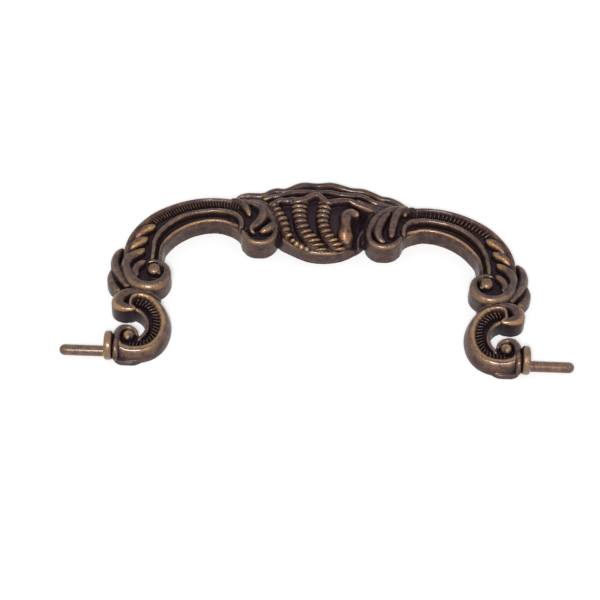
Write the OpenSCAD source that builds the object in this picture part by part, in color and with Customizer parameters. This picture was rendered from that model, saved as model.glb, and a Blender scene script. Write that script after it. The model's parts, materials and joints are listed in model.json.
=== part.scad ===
// Bail of a drawer pull: the swinging handle, one casting with a flat back.
// X runs from pin to pin, Y from the pins up to the shell, Z out of the drawer front.
// Forms are drawn with the pin axis on Y = 0 and the back on Z = 0, in millimetres.

/* [Overall] */
// Distance between the outer faces of the two pin flanges
face_span = 88.2; // [74:0.2:120]
// Distance from the pin axis to the top edge of the shell
drop = 44.2; // [38:0.2:60]

/* [Pins] */
// Diameter of the round pins that turn in the posts
pin_d = 2.3; // [1.8:0.1:3]
// Length of each pin beyond its flange, with the round tip
pin_length = 9.3; // [5:0.1:15]
// Height of the pin axis over the flat back
pin_z = 1.75; // [1.5:0.05:2.4]
// Diameter of the flange at the root of each pin
flange_d = 6.1; // [5:0.1:8]
// Thickness of the flange
flange_t = 1.7; // [1:0.1:2.5]

/* [Relief] */
// Height of the rims along the arms
arm_h = 5; // [4:0.1:7]
// Width of an arm at its crest
arm_w = 6.7; // [5.5:0.1:8]
// Height of the two bosses beside the shell
boss_h = 6.4; // [5.5:0.1:8]
// Height of the shell at the crowns of its ribs
shell_h = 8.2; // [6.5:0.1:10]
// Height of the C scroll where it lies behind its flange
scroll_h = 3.7; // [3:0.1:5]
// Height of the large volute
volute_h = 5.6; // [4.5:0.1:7]

/* [Ornament] */
// Spacing of the beads along the ribs of the shell
bead_pitch = 1.3; // [1:0.05:2]
// Depth of the grooves between those beads
bead_depth = 0.55; // [0.3:0.05:0.8]
// Spacing of the notches along the outer rim of an arm
notch_pitch = 1.3; // [1.1:0.05:1.8]
// Depth of those notches
notch_depth = 0.5; // [0.2:0.05:0.8]
// Number of flutes in the channel of each C scroll
flutes = 14; // [10:1:17]
// Depth of the flutes
flute_depth = 0.45; // [0.2:0.05:0.7]
// How much lower the crest of the right arm was cast
right_sag = 0.8; // [0:0.1:1.5]

/* [Hidden] */

// Round parts are drawn at this many sides
round_sides = 24;
// Sides of the arc over each ridge
ridge_sides = 3;
// Forms are drawn this far below the back and trimmed flat there
trim = 0.5;

flange_r = flange_d / 2;
// The flanges and necks stop just short of the plane of the back
back_gap = 0.05;
// The flange stands that near the back plane, so it rises past the pin
flange_y = 0.6;
// Radius of the neck that joins a flange to its scroll
neck_r = min(0.42 * scroll_h, flange_r - 0.6);
neck_length = 3.2;

// The volute's eye sits at a fixed place from the flange face and the pin axis
eye_from_face = 9.1;
eye_y = 18.6;
eye_x = face_span / 2 - eye_from_face;
// The arm's path was drawn for this run and rise, and stretches to reach the boss
boss_x = 13;
drawn_run = 22;
drawn_rise = 16.55;
crest_below_top = 9.05;
run_scale = (eye_x - boss_x) / drawn_run;

// Lowest point of the outline, which the centre of the box depends on
lowest_y = flange_y - flange_r;
middle_y = (drop + lowest_y) / 2;

// Point on a smooth curve through the anchors, from 0 at the first to 1 at the last
function on_curve(anchors, at) =
    let (last = len(anchors) - 1,
         pos = min(max(at, 0), 1) * last,
         i = min(floor(pos), last - 1),
         f = pos - i,
         b = anchors[i],
         c = anchors[i + 1],
         a = i > 0 ? anchors[i - 1] : 2 * b - c,
         d = i < last - 1 ? anchors[i + 2] : 2 * c - b)
    b + f * (c - a) / 2 + f * f * (2 * a - 5 * b + 4 * c - d) / 2
    + f * f * f * (3 * b - a - 3 * c + d) / 2;

// Unit vector in XY to the left of the curve
function left_of(anchors, at) =
    let (step = 0.01,
         d = on_curve(anchors, min(at + step, 1)) - on_curve(anchors, max(at - step, 0)))
    [-d[1], d[0]] / norm([d[0], d[1]]);

// Length of the curve in XY, measured in short chords
function curve_length(anchors, chords = 60) =
    let (p = [for (i = [0 : chords]) on_curve(anchors, i / chords)],
         steps = [for (i = [1 : chords]) norm([p[i][0] - p[i - 1][0], p[i][1] - p[i - 1][1]])])
    steps * [for (s = steps) 1];

// Closed skin over a row of rings that all have the same number of points
module skin(rings) {
    sides = len(rings[0]);
    last = len(rings) - 1;
    polyhedron(
        points = [for (ring = rings) each ring],
        faces = [
            [for (j = [sides - 1 : -1 : 0]) j],
            [for (j = [0 : sides - 1]) last * sides + j],
            for (i = [0 : last - 1], j = [0 : sides - 1])
                let (k = (j + 1) % sides, a = i * sides, b = a + sides)
                each [[a + j, b + k, b + j], [a + j, a + k, b + k]]
        ]);
}

// Ring of a section: [offset to the left, height] pairs stood across the curve at a point
function stand_across(anchors, at, section) =
    let (p = on_curve(anchors, at), n = left_of(anchors, at))
    [for (s = section) [p[0] + n[0] * s[0], p[1] + n[1] * s[0], s[1]]];

// Rounded section of a ridge, from its right foot over the crest to its left foot.
// The right side, which faces the inside of a scroll, takes the share that inner gives,
// and tuck draws the feet in under the ridge
function ridge_section(half, crest, foot, sides, inner, tuck) =
    let (spring = max(foot + 0.05, crest - 1.15 * half))
    [[-half * inner * tuck, foot],
     for (i = [0 : sides])
        let (turn = 180 * i / sides)
        [-half * cos(turn) * (turn < 90 ? inner : 1), spring + (crest - spring) * sin(turn)],
     [half * tuck, foot]];

// Ridge along anchors of [x, y, half width, crest height], which may carry grooves across it
module ridge(anchors, stations = 12, foot = -trim, grooves = 0, depth = 0, sides = ridge_sides,
             inner = 1, tuck = 1) {
    steps = grooves > 0 ? 2 * grooves : stations;
    skin([for (i = [0 : steps])
        let (at = i / steps,
             p = on_curve(anchors, at),
             cut = grooves > 0 && i % 2 == 0 ? depth : 0)
        stand_across(anchors, at, ridge_section(p[2] - cut / 3, p[3] - cut, foot, sides, inner, tuck))]);
}

// Anchors drawn from the flange face, brought to the left end of the bail
function from_face(anchors) = [for (a = anchors) [a[0] - face_span / 2, for (i = [1 : len(a) - 1]) a[i]]];

// Anchors drawn from the pin axis at the nominal drop, brought to the shell's real height
function from_top(anchors) = [for (a = anchors) [a[0], a[1] + drop, for (i = [2 : len(a) - 1]) a[i]]];

// Centre line of an arm from the volute to the boss: [x, y, half width] drawn from the eye
arm_drawn = [
    [-1.8, -1.1, 1.06], [-2.3, 1.7, 1.24], [-2.1, 5.4, 1.22], [0.1, 10.3, 1.08],
    [4.4, 14.1, 1.03], [9, 15.9, 1], [13, 16.55, 1], [16.6, 16.2, 1.08], [20.5, 14.9, 1.12]];

function arm_path(sag) =
    let (rise_scale = (drop - crest_below_top - sag - eye_y) / drawn_rise)
    [for (a = arm_drawn) [a[0] * run_scale - eye_x, eye_y + a[1] * rise_scale, a[2] * arm_w / 2]];

// Section of an arm: a straight inner wall, a sharp inner rim, a groove, the raised
// middle rim, a second groove and the shoulder that carries the notched outer rim
function arm_section(w) = [for (s = [
    [-1, -0.1], [-0.97, 0.95], [-0.9, 1], [-0.82, 0.92], [-0.66, 0.62], [-0.46, 0.62],
    [-0.38, 1.02], [-0.24, 1.12], [-0.1, 1.02], [0.04, 0.7], [0.9, 0.7], [1, 0.45], [1, -0.1]])
    [s[0] * w, s[1] * arm_h]];

module arm(sag) {
    path = arm_path(sag);
    stations = 16;
    skin([for (i = [0 : stations])
        stand_across(path, i / stations, arm_section(on_curve(path, i / stations)[2]))]);
    notched_rim(path);
    arm_lobes(path);
}

// Outer rim of an arm, with notches across its inner slope
module notched_rim(path) {
    first = 0.36;
    final = 0.93;
    notches = round((final - first) * curve_length(path) / notch_pitch);
    skin([for (i = [0 : 2 * notches])
        let (at = first + (final - first) * i / (2 * notches),
             w = on_curve(path, at)[2],
             cut = i % 2 == 0 ? notch_depth : 0)
        stand_across(path, at, [for (s = [
            [0.12, 0.5, 0], [0.3, 0.82, 1], [0.58, 0.97, 0.5], [0.86, 0.98, 0],
            [1, 0.74, 0], [1, 0.4, 0]]) [s[0] * w, s[1] * arm_h - s[2] * cut]])]);
}

// Acanthus lobes that lie across the shoulder where the arm meets the volute
module arm_lobes(path) {
    for (at = [0.2, 0.28, 0.36]) {
        p = on_curve(path, at);
        n = left_of(path, at);
        t = [n[1], -n[0]];
        w = p[2];
        lobe = [for (s = [[0.96, -1.6, 0.5, 0.7], [0.86, -0.9, 0.95, 0.9],
                          [0.56, 0, 1.1, 1.03], [0.24, 0.6, 0.8, 1], [0.06, 0.8, 0.3, 0.85]])
            [p[0] + n[0] * s[0] * w + t[0] * s[1], p[1] + n[1] * s[0] * w + t[1] * s[1],
             s[2], s[3] * arm_h]];
        ridge(lobe, stations = 5);
    }
}

// Large volute: a drafted drum, a sunk ring, a round eye and the rim that winds about it
module volute() {
    translate([-eye_x - 0.3, eye_y - 0.3, -trim])
        cylinder(r = 3.6, h = volute_h - 2.4 + trim, $fn = round_sides);
    translate([-eye_x, eye_y, 1]) {
        cylinder(r = 1.3, h = volute_h - 2.3, $fn = 12);
        translate([0, 0, volute_h - 2.3])
            sphere(r = 1.45, $fn = 12);
    }
    h = volute_h / 5.6;
    ridge(from_face([
        [11, 20.4, 0.6, 4 * h], [11.7, 18.4, 1, 4.8 * h], [11.3, 16.4, 1.3, 5.2 * h],
        [9.8, 15, 1.3, 5.5 * h], [7.6, 14.8, 1.2, 5.6 * h], [5.6, 16, 1, 5.4 * h],
        [4.3, 18.4, 0.85, 5.2 * h], [3.5, 21, 0.7, 5 * h], [3.15, 23.2, 0.5, 4.4 * h]]),
        stations = 14, inner = 0.55);
    ridge(from_face([
        [7.3, 21.1, 0.3, 5 * h], [6, 20, 0.7, 5.2 * h], [5.9, 18.2, 0.9, 5.2 * h],
        [6.8, 16.4, 0.8, 5.2 * h], [8.4, 15.4, 0.5, 5 * h]]), stations = 8, foot = 1);
}

// Two narrow leaves that lap the outer side of the volute, on a low web
module side_leaves() {
    translate([-face_span / 2, 0, -trim])
        linear_extrude(1.8 + trim)
            polygon([[1, 23], [0.4, 19], [0.6, 16], [1.6, 13.4], [8, 13.4], [8, 24], [3, 25]]);
    ridge(from_face([
        [2.3, 25.2, 0.3, 3.1], [1.3, 23.7, 0.85, 3.6], [0.9, 21.4, 1.05, 3.8],
        [1.6, 19, 1.05, 4], [2.9, 16.7, 0.9, 4.05], [4.1, 15, 0.6, 3.8]]), stations = 9);
    ridge(from_face([
        [0.3, 20.2, 0.3, 2.6], [0.2, 17.9, 0.85, 3.1], [0.9, 15.8, 0.95, 3.4],
        [2.3, 14.1, 0.7, 3.4]]), stations = 7);
}

// Rolled edge of the C scroll, from the curl under the hook round to its flange:
// [x, y, half width, share of the scroll's height]
scroll_drawn = [
    [5.7, 9.1, 0.4, 1.32], [4.8, 9.8, 0.5, 1.35], [4.6, 10.9, 0.55, 1.36], [5.2, 12.1, 0.8, 1.36],
    [6.7, 12.6, 1, 1.34], [8.6, 12.2, 1.15, 1.3], [10.2, 11, 1.25, 1.24], [11.5, 9.1, 1.3, 1.19],
    [12.1, 6.9, 1.35, 1.15], [12, 4.6, 1.35, 1.11], [11.2, 2.4, 1.35, 1.08], [9.7, 0.7, 1.4, 1.04],
    [7.7, -0.1, 1.5, 1.02], [5.2, -0.3, 1.55, 1], [1.9, -0.2, 1.55, 0.99]];
// Thin rim that leaves the rolled edge by the flange and winds about the small eye
small_rim_drawn = [
    [3.7, -0.3, 0.8, 1.01], [2.9, 1.3, 0.8, 1.07], [2.8, 2.9, 0.75, 1.12], [3.3, 4.2, 0.7, 1.15],
    [4.3, 4.8, 0.65, 1.15], [5.4, 4.6, 0.6, 1.12], [6.2, 3.8, 0.5, 1.07], [6.5, 2.9, 0.4, 0.97]];

// Inner rim of the channel, paired with the stretch of the rolled edge that it follows
channel_rim = [
    [6, 9.1], [7.3, 8.4], [8.2, 7.2], [8.6, 5.8], [8.4, 4.3], [7.5, 3.1], [6.6, 2.2]];
channel_edge = [
    [6.7, 12.2], [9.4, 11.3], [11.1, 9.1], [11.7, 6.6], [11.4, 3.8], [9.8, 1.2], [7, 0.2]];

function at_scroll_height(anchors) = from_face([for (a = anchors) [a[0], a[1], a[2], a[3] * scroll_h]]);

module c_scroll() {
    ridge(at_scroll_height(scroll_drawn), stations = 25, sides = 5, inner = 0.6, tuck = 0.85);
    ridge(at_scroll_height(small_rim_drawn), stations = 12);
    fluted_channel();
    ridge(at_scroll_height([for (a = channel_rim) [a[0], a[1], 0.4, 1.02]]), stations = 9);
    small_volute();
    hook();
    stop_lug();
}

// Concave channel between the rim and the rolled edge, with slanted flutes across it
module fluted_channel() {
    rim = from_face(channel_rim);
    edge = from_face(channel_edge);
    slant = 0.05;
    steps = 2 * flutes;
    skin([for (i = [0 : steps])
        let (at = i / steps,
             cut = i % 2 == 0 ? flute_depth : 0)
        [for (s = [[0, -0.1, 0], [0.05, 0.72, 0], [0.34, 0.4, 0.8], [0.62, 0.6, 1],
                   [0.88, 1, 0.3], [1, -0.1, 0]])
            let (p = on_curve(rim, at - slant * (1 - s[0])),
                 q = on_curve(edge, at + slant * s[0]))
            [p[0] + (q[0] - p[0]) * s[0], p[1] + (q[1] - p[1]) * s[0], s[1] * scroll_h - s[2] * cut]]]);
}

// Floor and eye of the small volute that ends the C scroll
module small_volute() {
    for (pad = [[4.8, 2.5, 2.2, 0.55], [6.9, 1.5, 1.5, 0.45]])
        translate([pad[0] - face_span / 2, pad[1], -trim])
            cylinder(r = pad[2], h = pad[3] * scroll_h + trim, $fn = 20);
    translate([5 - face_span / 2, 3.1, 1])
        cylinder(r = 0.95, h = scroll_h - 1.3, $fn = 12);
    translate([5 - face_span / 2, 3.1, scroll_h - 0.3])
        sphere(r = 1.1, $fn = 12);
}

// Hook leaf that closes the top of the C scroll and curls over a pit
module hook() {
    h = 1.36 * scroll_h;
    ridge(from_face([
        [6, 9, 0.55, 0.97 * h], [4.3, 9, 0.85, h], [2.8, 9.5, 1.1, h], [2.1, 10.9, 1.15, h],
        [2.5, 12.3, 1, h], [3.8, 13.4, 0.8, 0.96 * h], [5.6, 13.8, 0.6, 0.92 * h],
        [8.1, 13.6, 0.5, 0.86 * h], [10.6, 12.2, 0.4, 0.76 * h]]), stations = 14);
    // Floor of the pit, and of the start of the channel beside it
    for (pad = [[3.8, 11.3, 2, 0.62], [6.4, 10.6, 1.8, 0.45], [5.8, 13.1, 1, 0.8], [8.8, 12.9, 1, 0.8]])
        translate([pad[0] - face_span / 2, pad[1], -trim])
            cylinder(r = pad[2], h = pad[3] * scroll_h + trim, $fn = 16);
}

// Low lug behind the rolled edge that stops the bail against its post
module stop_lug() {
    lug_h = 1.4;
    translate([-face_span / 2, 0, -trim])
        linear_extrude(lug_h + trim)
            polygon([[2.1, -1], [3.1, -2.1], [7.1, -2.1], [7.9, -1.2], [7.9, 0.5], [2.1, 0.5]]);
}

// Boss where an arm curls against the shell: a drum, its rim and three curling strands
module boss(sag) {
    h = boss_h;
    translate([-boss_x, drop - 14.6, -trim])
        cylinder(r = 3.65, h = h - 2 + trim, $fn = round_sides);
    translate([-boss_x - 0.3, drop - 11.2, -trim])
        cylinder(r = 3.1, h = h - 2 + trim, $fn = 20);
    translate([0, drop, -trim])
        linear_extrude(arm_h + trim)
            polygon([
                [-19.5, -13 - sag], [-17.6, -14.1], [-16.6, -15.6], [-16, -17.4], [-13, -15], [-13, -10]]);
    ridge(from_top([
        [-16.6, -14.8, 0.5, h - 0.7], [-16, -16.3, 0.6, h - 0.5], [-14.6, -17.6, 0.65, h - 0.4],
        [-12.7, -17.9, 0.65, h - 0.4], [-10.7, -17, 0.65, h - 0.4], [-9.6, -14.9, 0.65, h - 0.3],
        [-9.8, -12.6, 0.8, h - 0.1], [-10.9, -10.1, 1, h], [-12.8, -8.6, 0.9, h - 0.1],
        [-15.2, -7.4, 0.6, h - 0.7], [-17.2, -6.5, 0.4, h - 1.3]]), stations = 15);
    ridge(from_top([
        [-19.4, -6.3 - sag, 0.7, h - 1.5], [-17.6, -7 - sag / 2, 0.85, h - 1],
        [-16.4, -8.3, 0.85, h - 0.6], [-15.6, -9.8, 0.65, h - 0.5], [-15.2, -11, 0.35, h - 0.9]]),
        stations = 7, foot = 1);
    ridge(from_top([
        [-13.2, -8.2, 0.8, h - 0.3], [-12.2, -9.9, 1, h], [-12.4, -11.6, 1, h],
        [-13.4, -12.9, 0.9, h - 0.1], [-14.6, -14.2, 0.6, h - 0.3], [-13.9, -15.4, 0.35, h - 0.9]]),
        stations = 10, foot = 1);
    ridge(from_top([
        [-9.5, -13.2, 0.6, h - 0.3], [-10.6, -14, 0.65, h - 0.2], [-11.9, -14.9, 0.55, h - 0.3],
        [-13, -15.5, 0.35, h - 0.7]]), stations = 5, foot = 1);
    ridge(from_top([
        [-20.6, -9.9 - sag, 0.6, h - 1.1], [-18.5, -10.4 - sag / 2, 0.7, h - 1.05],
        [-17.3, -11.6, 0.65, h - 0.95], [-17, -14.4, 0.45, h - 0.8]]), stations = 6, foot = 1);
}

// Body of the shell: front wall, crowned face and two terraces down to the top edge
shell_front = [
    [-14, -10], [-10.5, -13.5], [-7.6, -16.6], [-4, -18.6], [0, -19.3], [4, -18.7],
    [7.8, -16.6], [10.5, -13.5], [14, -10]];
shell_back = [
    [-18.8, -4.9], [-14.6, -2.8], [-9, -1.6], [-4.5, -0.6], [0, 0], [4.5, -0.7],
    [10, -1.6], [15.2, -3.6], [18.8, -6.2]];

// Hollows that run back from the front on either side: [x, half width, share of the height]
shell_hollows = [[-10.2, 1.2, 0.3], [8.7, 1.6, 0.42]];

// Share of the body's height that the hollows take at a place across the shell
function hollow_share(x, back_share) =
    let (fade = min(max((0.72 - back_share) / 0.1, 0), 1))
    fade * [for (g = shell_hollows) g[2] * exp(-pow((x - g[0]) / g[1], 2))] * [for (g = shell_hollows) 1];

module shell_body() {
    front = from_top(shell_front);
    back = from_top(shell_back);
    h = shell_h;
    stations = 22;
    section = [[0, -0.1], [0, 0.38], [0.02, 0.52], [0.06, 0.6], [0.2, 0.69],
               [0.62, 0.72], [0.68, 0.6], [0.8, 0.55], [0.84, 0.42], [1, 0.3], [1, -0.1]];
    skin([for (i = [0 : stations])
        let (at = i / stations,
             p = on_curve(front, at),
             q = on_curve(back, at),
             ends = 0.72 + 0.28 * sin(180 * at))
        [for (s = section)
            let (x = p[0] + (q[0] - p[0]) * s[0])
            [x, p[1] + (q[1] - p[1]) * s[0], s[1] * h * ends * (1 - hollow_share(x, s[0]))]]]);
}

// Rib of the shell, beaded across at an even pitch
module beaded_rib(anchors) {
    path = from_top(anchors);
    ridge(path, foot = 2, grooves = round(curve_length(path) / bead_pitch), depth = bead_depth);
}

module shell() {
    h = shell_h;
    shell_body();
    beaded_rib([
        [-9.5, -9.4, 0.85, h - 1.1], [-8.5, -11.8, 0.9, h - 1], [-7.6, -14.1, 0.9, h - 1.1],
        [-6.8, -15.9, 0.85, h - 1.7], [-5.5, -17.2, 0.75, h - 2.4], [-3.6, -18.1, 0.6, h - 3.2]]);
    beaded_rib([
        [-4.9, -8.6, 1.6, h - 0.4], [-4.5, -11.2, 1.65, h - 0.2], [-3.9, -13.9, 1.65, h - 0.3],
        [-2.7, -16.1, 1.6, h - 1.1], [-1.2, -17.4, 1.4, h - 2.1], [0.4, -18.3, 1.1, h - 3.1]]);
    beaded_rib([
        [0.4, -8.6, 1.4, h - 0.4], [0.45, -11.2, 1.45, h - 0.2], [0.7, -13.9, 1.45, h - 0.3],
        [1.5, -16.1, 1.4, h - 1], [2.8, -17.2, 1.2, h - 2], [4.2, -17.9, 0.9, h - 3.1]]);
    ridge(from_top([
        [8.3, -10.9, 0.5, h - 1], [7.2, -9.8, 1, h - 0.5], [5.8, -10.5, 1.5, h - 0.2],
        [5.2, -12.6, 1.05, h - 0.3], [5, -14.1, 1, h - 0.5], [5.6, -15.6, 1.3, h - 1],
        [6.4, -16.6, 1.1, h - 2.1], [7, -17, 0.7, h - 2.9]]), stations = 12, foot = 2);
    shell_rims();
}

// Scalloped front rim, the wavy rim behind it, the rolled top edge and the leaf stroke
module shell_rims() {
    h = shell_h;
    ridge(from_top([
        [-11.3, -8.9, 0.35, h - 1.6], [-8.9, -8, 0.55, h - 0.7], [-7.5, -8.3, 0.5, h - 0.6],
        [-5.2, -8.1, 0.6, h - 0.3], [-3.3, -7.6, 0.6, h - 0.2], [-1.3, -6.5, 0.6, h],
        [0.5, -7.9, 0.6, h - 0.1], [1.6, -8.3, 0.65, h - 0.2], [3.9, -7.5, 0.6, h - 0.3],
        [6, -7.4, 0.5, h - 0.7]]), stations = 18, foot = 2);
    ridge(from_top([
        [-12.6, -6.5, 0.4, h - 2.9], [-8.6, -5.4, 0.6, h - 2.2], [-4.6, -4.6, 0.6, h - 2.1],
        [-0.6, -4.1, 0.65, h - 2.1], [3.4, -4.7, 0.6, h - 2.1], [7.4, -5.1, 0.6, h - 2.2],
        [11.4, -6.4, 0.6, h - 2.5], [15.4, -7.2, 0.45, h - 3.3]]), stations = 13, foot = 2);
    edge = 0.75;
    ridge(from_top([
        [-18.4, -5.3, 0.4, h - 4.7], [-16.4, -4.4, edge, h - 4.3], [-14.2, -4.4, edge, h - 4.2],
        [-12, -4.1, edge, h - 4.1], [-10.2, -3.1, edge, h - 4], [-8, -3.1, edge, h - 4.1],
        [-5.6, -2.1, edge, h - 3.9], [-3.4, -1.4, edge, h - 3.9], [-1, -1 - edge / 3, edge, h - 4],
        [1.6, -1.1, edge, h - 3.9], [4, -1.8, edge, h - 3.9], [6.4, -2.3, edge, h - 4],
        [8.8, -2.4, edge, h - 4], [11, -3.2, edge, h - 4.1], [13.2, -4.1, edge, h - 4.2],
        [15.4, -4.5, edge, h - 4.3], [18.6, -6.6, 0.4, h - 4.8]]), stations = 24);
    ridge(from_top([
        [6, -7.3, 0.5, h - 0.8], [7.6, -8, 0.65, h - 1], [10, -8.7, 0.65, h - 1.6],
        [12.9, -9.1, 0.4, h - 2.4]]), stations = 6, foot = 2);
}

// Half of the bail between the shell and one pin, drawn on the left
module half_relief(sag) {
    arm(sag);
    volute();
    side_leaves();
    c_scroll();
    boss(sag);
}

// The whole relief, trimmed flat at the back. Its crown comes to the full height of the shell
module relief() {
    resize([0, 0, max(shell_h, boss_h)])
        intersection() {
            union() {
                half_relief(0);
                mirror([1, 0, 0])
                    half_relief(right_sag);
                shell();
            }
            translate([-face_span, -drop, 0])
                cube([2 * face_span, 3 * drop, 2 * shell_h + 2 * boss_h]);
        }
}

// Pin with a round tip, its flange with a rounded edge, and the neck into the scroll
module pin_end() {
    edge = 0.55;
    translate([-face_span / 2, 0, pin_z])
        rotate([0, -90, 0])
            rotate_extrude($fn = round_sides)
                polygon([[0, -neck_length], [pin_d / 2, -neck_length],
                    [pin_d / 2, pin_length - pin_d / 2],
                    for (a = [15 : 15 : 90]) [pin_d / 2 * cos(a), pin_length - pin_d / 2 * (1 - sin(a))]]);
    translate([-face_span / 2, flange_y, flange_r + back_gap])
        rotate([0, 90, 0])
            rotate_extrude($fn = round_sides)
                polygon([[0, 0],
                    for (a = [-90 : 22.5 : 0]) [flange_r - edge * (1 - cos(a)), edge * (1 + sin(a))],
                    for (a = [0 : 22.5 : 90])
                        [flange_r - edge * (1 - cos(a)), flange_t - edge * (1 - sin(a))],
                    [0, flange_t]]);
    translate([-face_span / 2 + flange_t - 0.3, 0.1, neck_r + back_gap])
        rotate([0, 90, 0])
            cylinder(r = neck_r, h = neck_length, $fn = round_sides);
}

module bail() {
    color("#5a4632")
        translate([0, -middle_y, 0]) {
            relief();
            pin_end();
            mirror([1, 0, 0])
                pin_end();
        }
}

bail();
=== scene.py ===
# Bail of a drawer pull in antique bronze: a rocaille shell between two acanthus arms,
# with a volute, a fluted C scroll, a flange and a round pin at each end.
# Forms are drawn in millimetres with the pin axis on Y = 0 and the flat back on Z = 0.
# The left half is drawn, and the right half is its mirror image with a slight sag.
import json
import math

import bpy
import numpy as np
from mathutils import Matrix, Vector


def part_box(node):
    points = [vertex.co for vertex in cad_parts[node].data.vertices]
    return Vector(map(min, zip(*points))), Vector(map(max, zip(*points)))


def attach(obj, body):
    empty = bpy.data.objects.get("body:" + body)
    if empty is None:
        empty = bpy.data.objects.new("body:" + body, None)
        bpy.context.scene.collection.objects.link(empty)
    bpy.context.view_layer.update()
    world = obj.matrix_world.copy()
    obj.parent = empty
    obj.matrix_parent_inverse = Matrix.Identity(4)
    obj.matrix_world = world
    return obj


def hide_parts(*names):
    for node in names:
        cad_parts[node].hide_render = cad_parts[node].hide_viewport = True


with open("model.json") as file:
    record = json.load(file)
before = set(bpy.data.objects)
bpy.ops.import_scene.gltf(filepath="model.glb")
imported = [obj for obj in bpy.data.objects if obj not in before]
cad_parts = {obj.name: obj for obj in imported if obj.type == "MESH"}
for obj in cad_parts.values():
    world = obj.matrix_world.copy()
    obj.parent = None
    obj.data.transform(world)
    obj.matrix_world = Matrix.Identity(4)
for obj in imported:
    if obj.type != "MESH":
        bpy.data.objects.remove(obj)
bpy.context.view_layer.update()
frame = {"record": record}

# Sizes that the frame gives, in millimetres
MM = 0.001
record = frame["record"]
pin_mount = next(m for m in record["mounts"] if m["name"] == "pin_right")
PIN_R = pin_mount["dims"]["r_mm"]
PIN_WALL = pin_mount["dims"]["length_mm"]
FACE_X = pin_mount["pos_m"][0] / MM - PIN_WALL / 2
PIN_Y = pin_mount["pos_m"][1] / MM
PIN_Z = pin_mount["pos_m"][2] / MM
TIP_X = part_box("bail")[1][0] / MM

# Fineness of the casting's skin
VOXEL = 0.12
SOFTEN_ROUNDS = 3
MOST_TRIANGLES = 182000


# Camera of the photograph: turn, height and roll in degrees, place in millimetres, and lens
VIEW_ANGLES = (-0.275, 56.494, 2.302)
VIEW_PLACE = (-5.25, -285.96, 423.95)
LENS_MM, SENSOR_MM = 144.3, 36


def camera():
    azimuth, elevation, roll = (math.radians(a) for a in VIEW_ANGLES)
    back = Vector((math.sin(azimuth) * math.cos(elevation),
                   -math.cos(azimuth) * math.cos(elevation), math.sin(elevation)))
    level = Vector((math.cos(azimuth), math.sin(azimuth), 0))
    upright = back.cross(level)
    right = level * math.cos(roll) + upright * math.sin(roll)
    up = back.cross(right)
    lens = bpy.data.cameras.new("camera")
    lens.lens = LENS_MM
    lens.sensor_width = SENSOR_MM
    lens.clip_start = 0.01
    eye = bpy.data.objects.new("camera", lens)
    eye.matrix_world = Matrix((right, up, back)).transposed().to_4x4()
    eye.matrix_world.translation = Vector(VIEW_PLACE) * MM
    bpy.context.scene.collection.objects.link(eye)
    bpy.context.scene.camera = eye


# Soft reach of a place
def ramp(values, low, high):
    return np.clip((values - low) / (high - low), 0, 1)


def step_up(values, low, high):
    """Ramp with both its ends eased."""
    t = ramp(values, low, high)
    return t * t * (3 - 2 * t)


def reach(values, starts=None, full=None, fades=None, ends=None, rise=step_up):
    """1 where a place reaches. It fades in from starts to full and out from fades to ends."""
    share = np.ones(len(values))
    if starts is not None:
        share *= rise(values, starts, full)
    if ends is not None:
        share *= rise(-values, -ends, -fades)
    return share


def patch(at, spans, rise=step_up):
    """Share of each point in a place, from the place's reach along each measure."""
    share = 1.0
    for measure, span in spans.items():
        share = share * reach(at[measure], *span, rise=rise)
    return share


# Curves and skins
def smooth_path(anchors, spacing=0.3, stations=None):
    """Even stations along a smooth curve through the anchors. All columns are carried along."""
    a = np.array(anchors, float)
    a = np.vstack([2 * a[0] - a[1], a, 2 * a[-1] - a[-2]])
    per_span = 24
    t = np.linspace(0, len(a) - 3, per_span * (len(a) - 3) + 1)
    i = np.minimum(t.astype(int), len(a) - 4)
    f = (t - i)[:, None]
    p, q, r, s = a[i], a[i + 1], a[i + 2], a[i + 3]
    fine = q + f * (r - p) / 2
    fine = fine + f ** 2 * (2 * p - 5 * q + 4 * r - s) / 2
    fine = fine + f ** 3 * (3 * q - p - 3 * r + s) / 2
    steps = np.linalg.norm(np.diff(fine[:, :2], axis=0), axis=1)
    along = np.concatenate([[0], np.cumsum(steps)])
    if stations is None:
        stations = max(6, int(along[-1] / spacing) + 1)
    even = np.linspace(0, along[-1], stations)
    return np.column_stack([np.interp(even, along, fine[:, k]) for k in range(a.shape[1])]), even


def left_of(path):
    """Unit vectors in XY to the left of a path."""
    d = np.gradient(path[:, :2], axis=0)
    d /= np.linalg.norm(d, axis=1)[:, None]
    return np.column_stack([-d[:, 1], d[:, 0]])


class Blank:
    """The closed forms that are fused into the casting, in millimetres."""

    def __init__(self):
        self.points, self.faces, self.count = [], [], 0

    def add(self, points, faces):
        points = np.array(points, float)
        self.points.append(points)
        self.faces += [tuple(v + self.count for v in f) for f in faces]
        self.count += len(points)


def skin(rings):
    """Closed skin over a row of rings with the same number of points."""
    rows, sides = len(rings), len(rings[0])
    faces = [tuple(range(sides - 1, -1, -1)), tuple((rows - 1) * sides + j for j in range(sides))]
    for i in range(rows - 1):
        for j in range(sides):
            k = (j + 1) % sides
            faces.append((i * sides + j, i * sides + k, (i + 1) * sides + k, (i + 1) * sides + j))
    return np.vstack(rings), faces


def stand_across(path, sections):
    """Rings of [offset to the left, height] sections stood across a path."""
    n = left_of(path)
    return [np.column_stack([p[0] + m[0] * s[:, 0], p[1] + m[1] * s[:, 0], s[:, 1]])
            for p, m, s in zip(path, n, sections)]


ARC = np.linspace(0, math.pi, 13)
# Width of a ridge at its foot against its width above, and how far below its crest, in half widths,
# its round top springs from its walls
SPREAD = 1.04
SPRING = 1.1
THINNEST = 0.35


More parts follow.
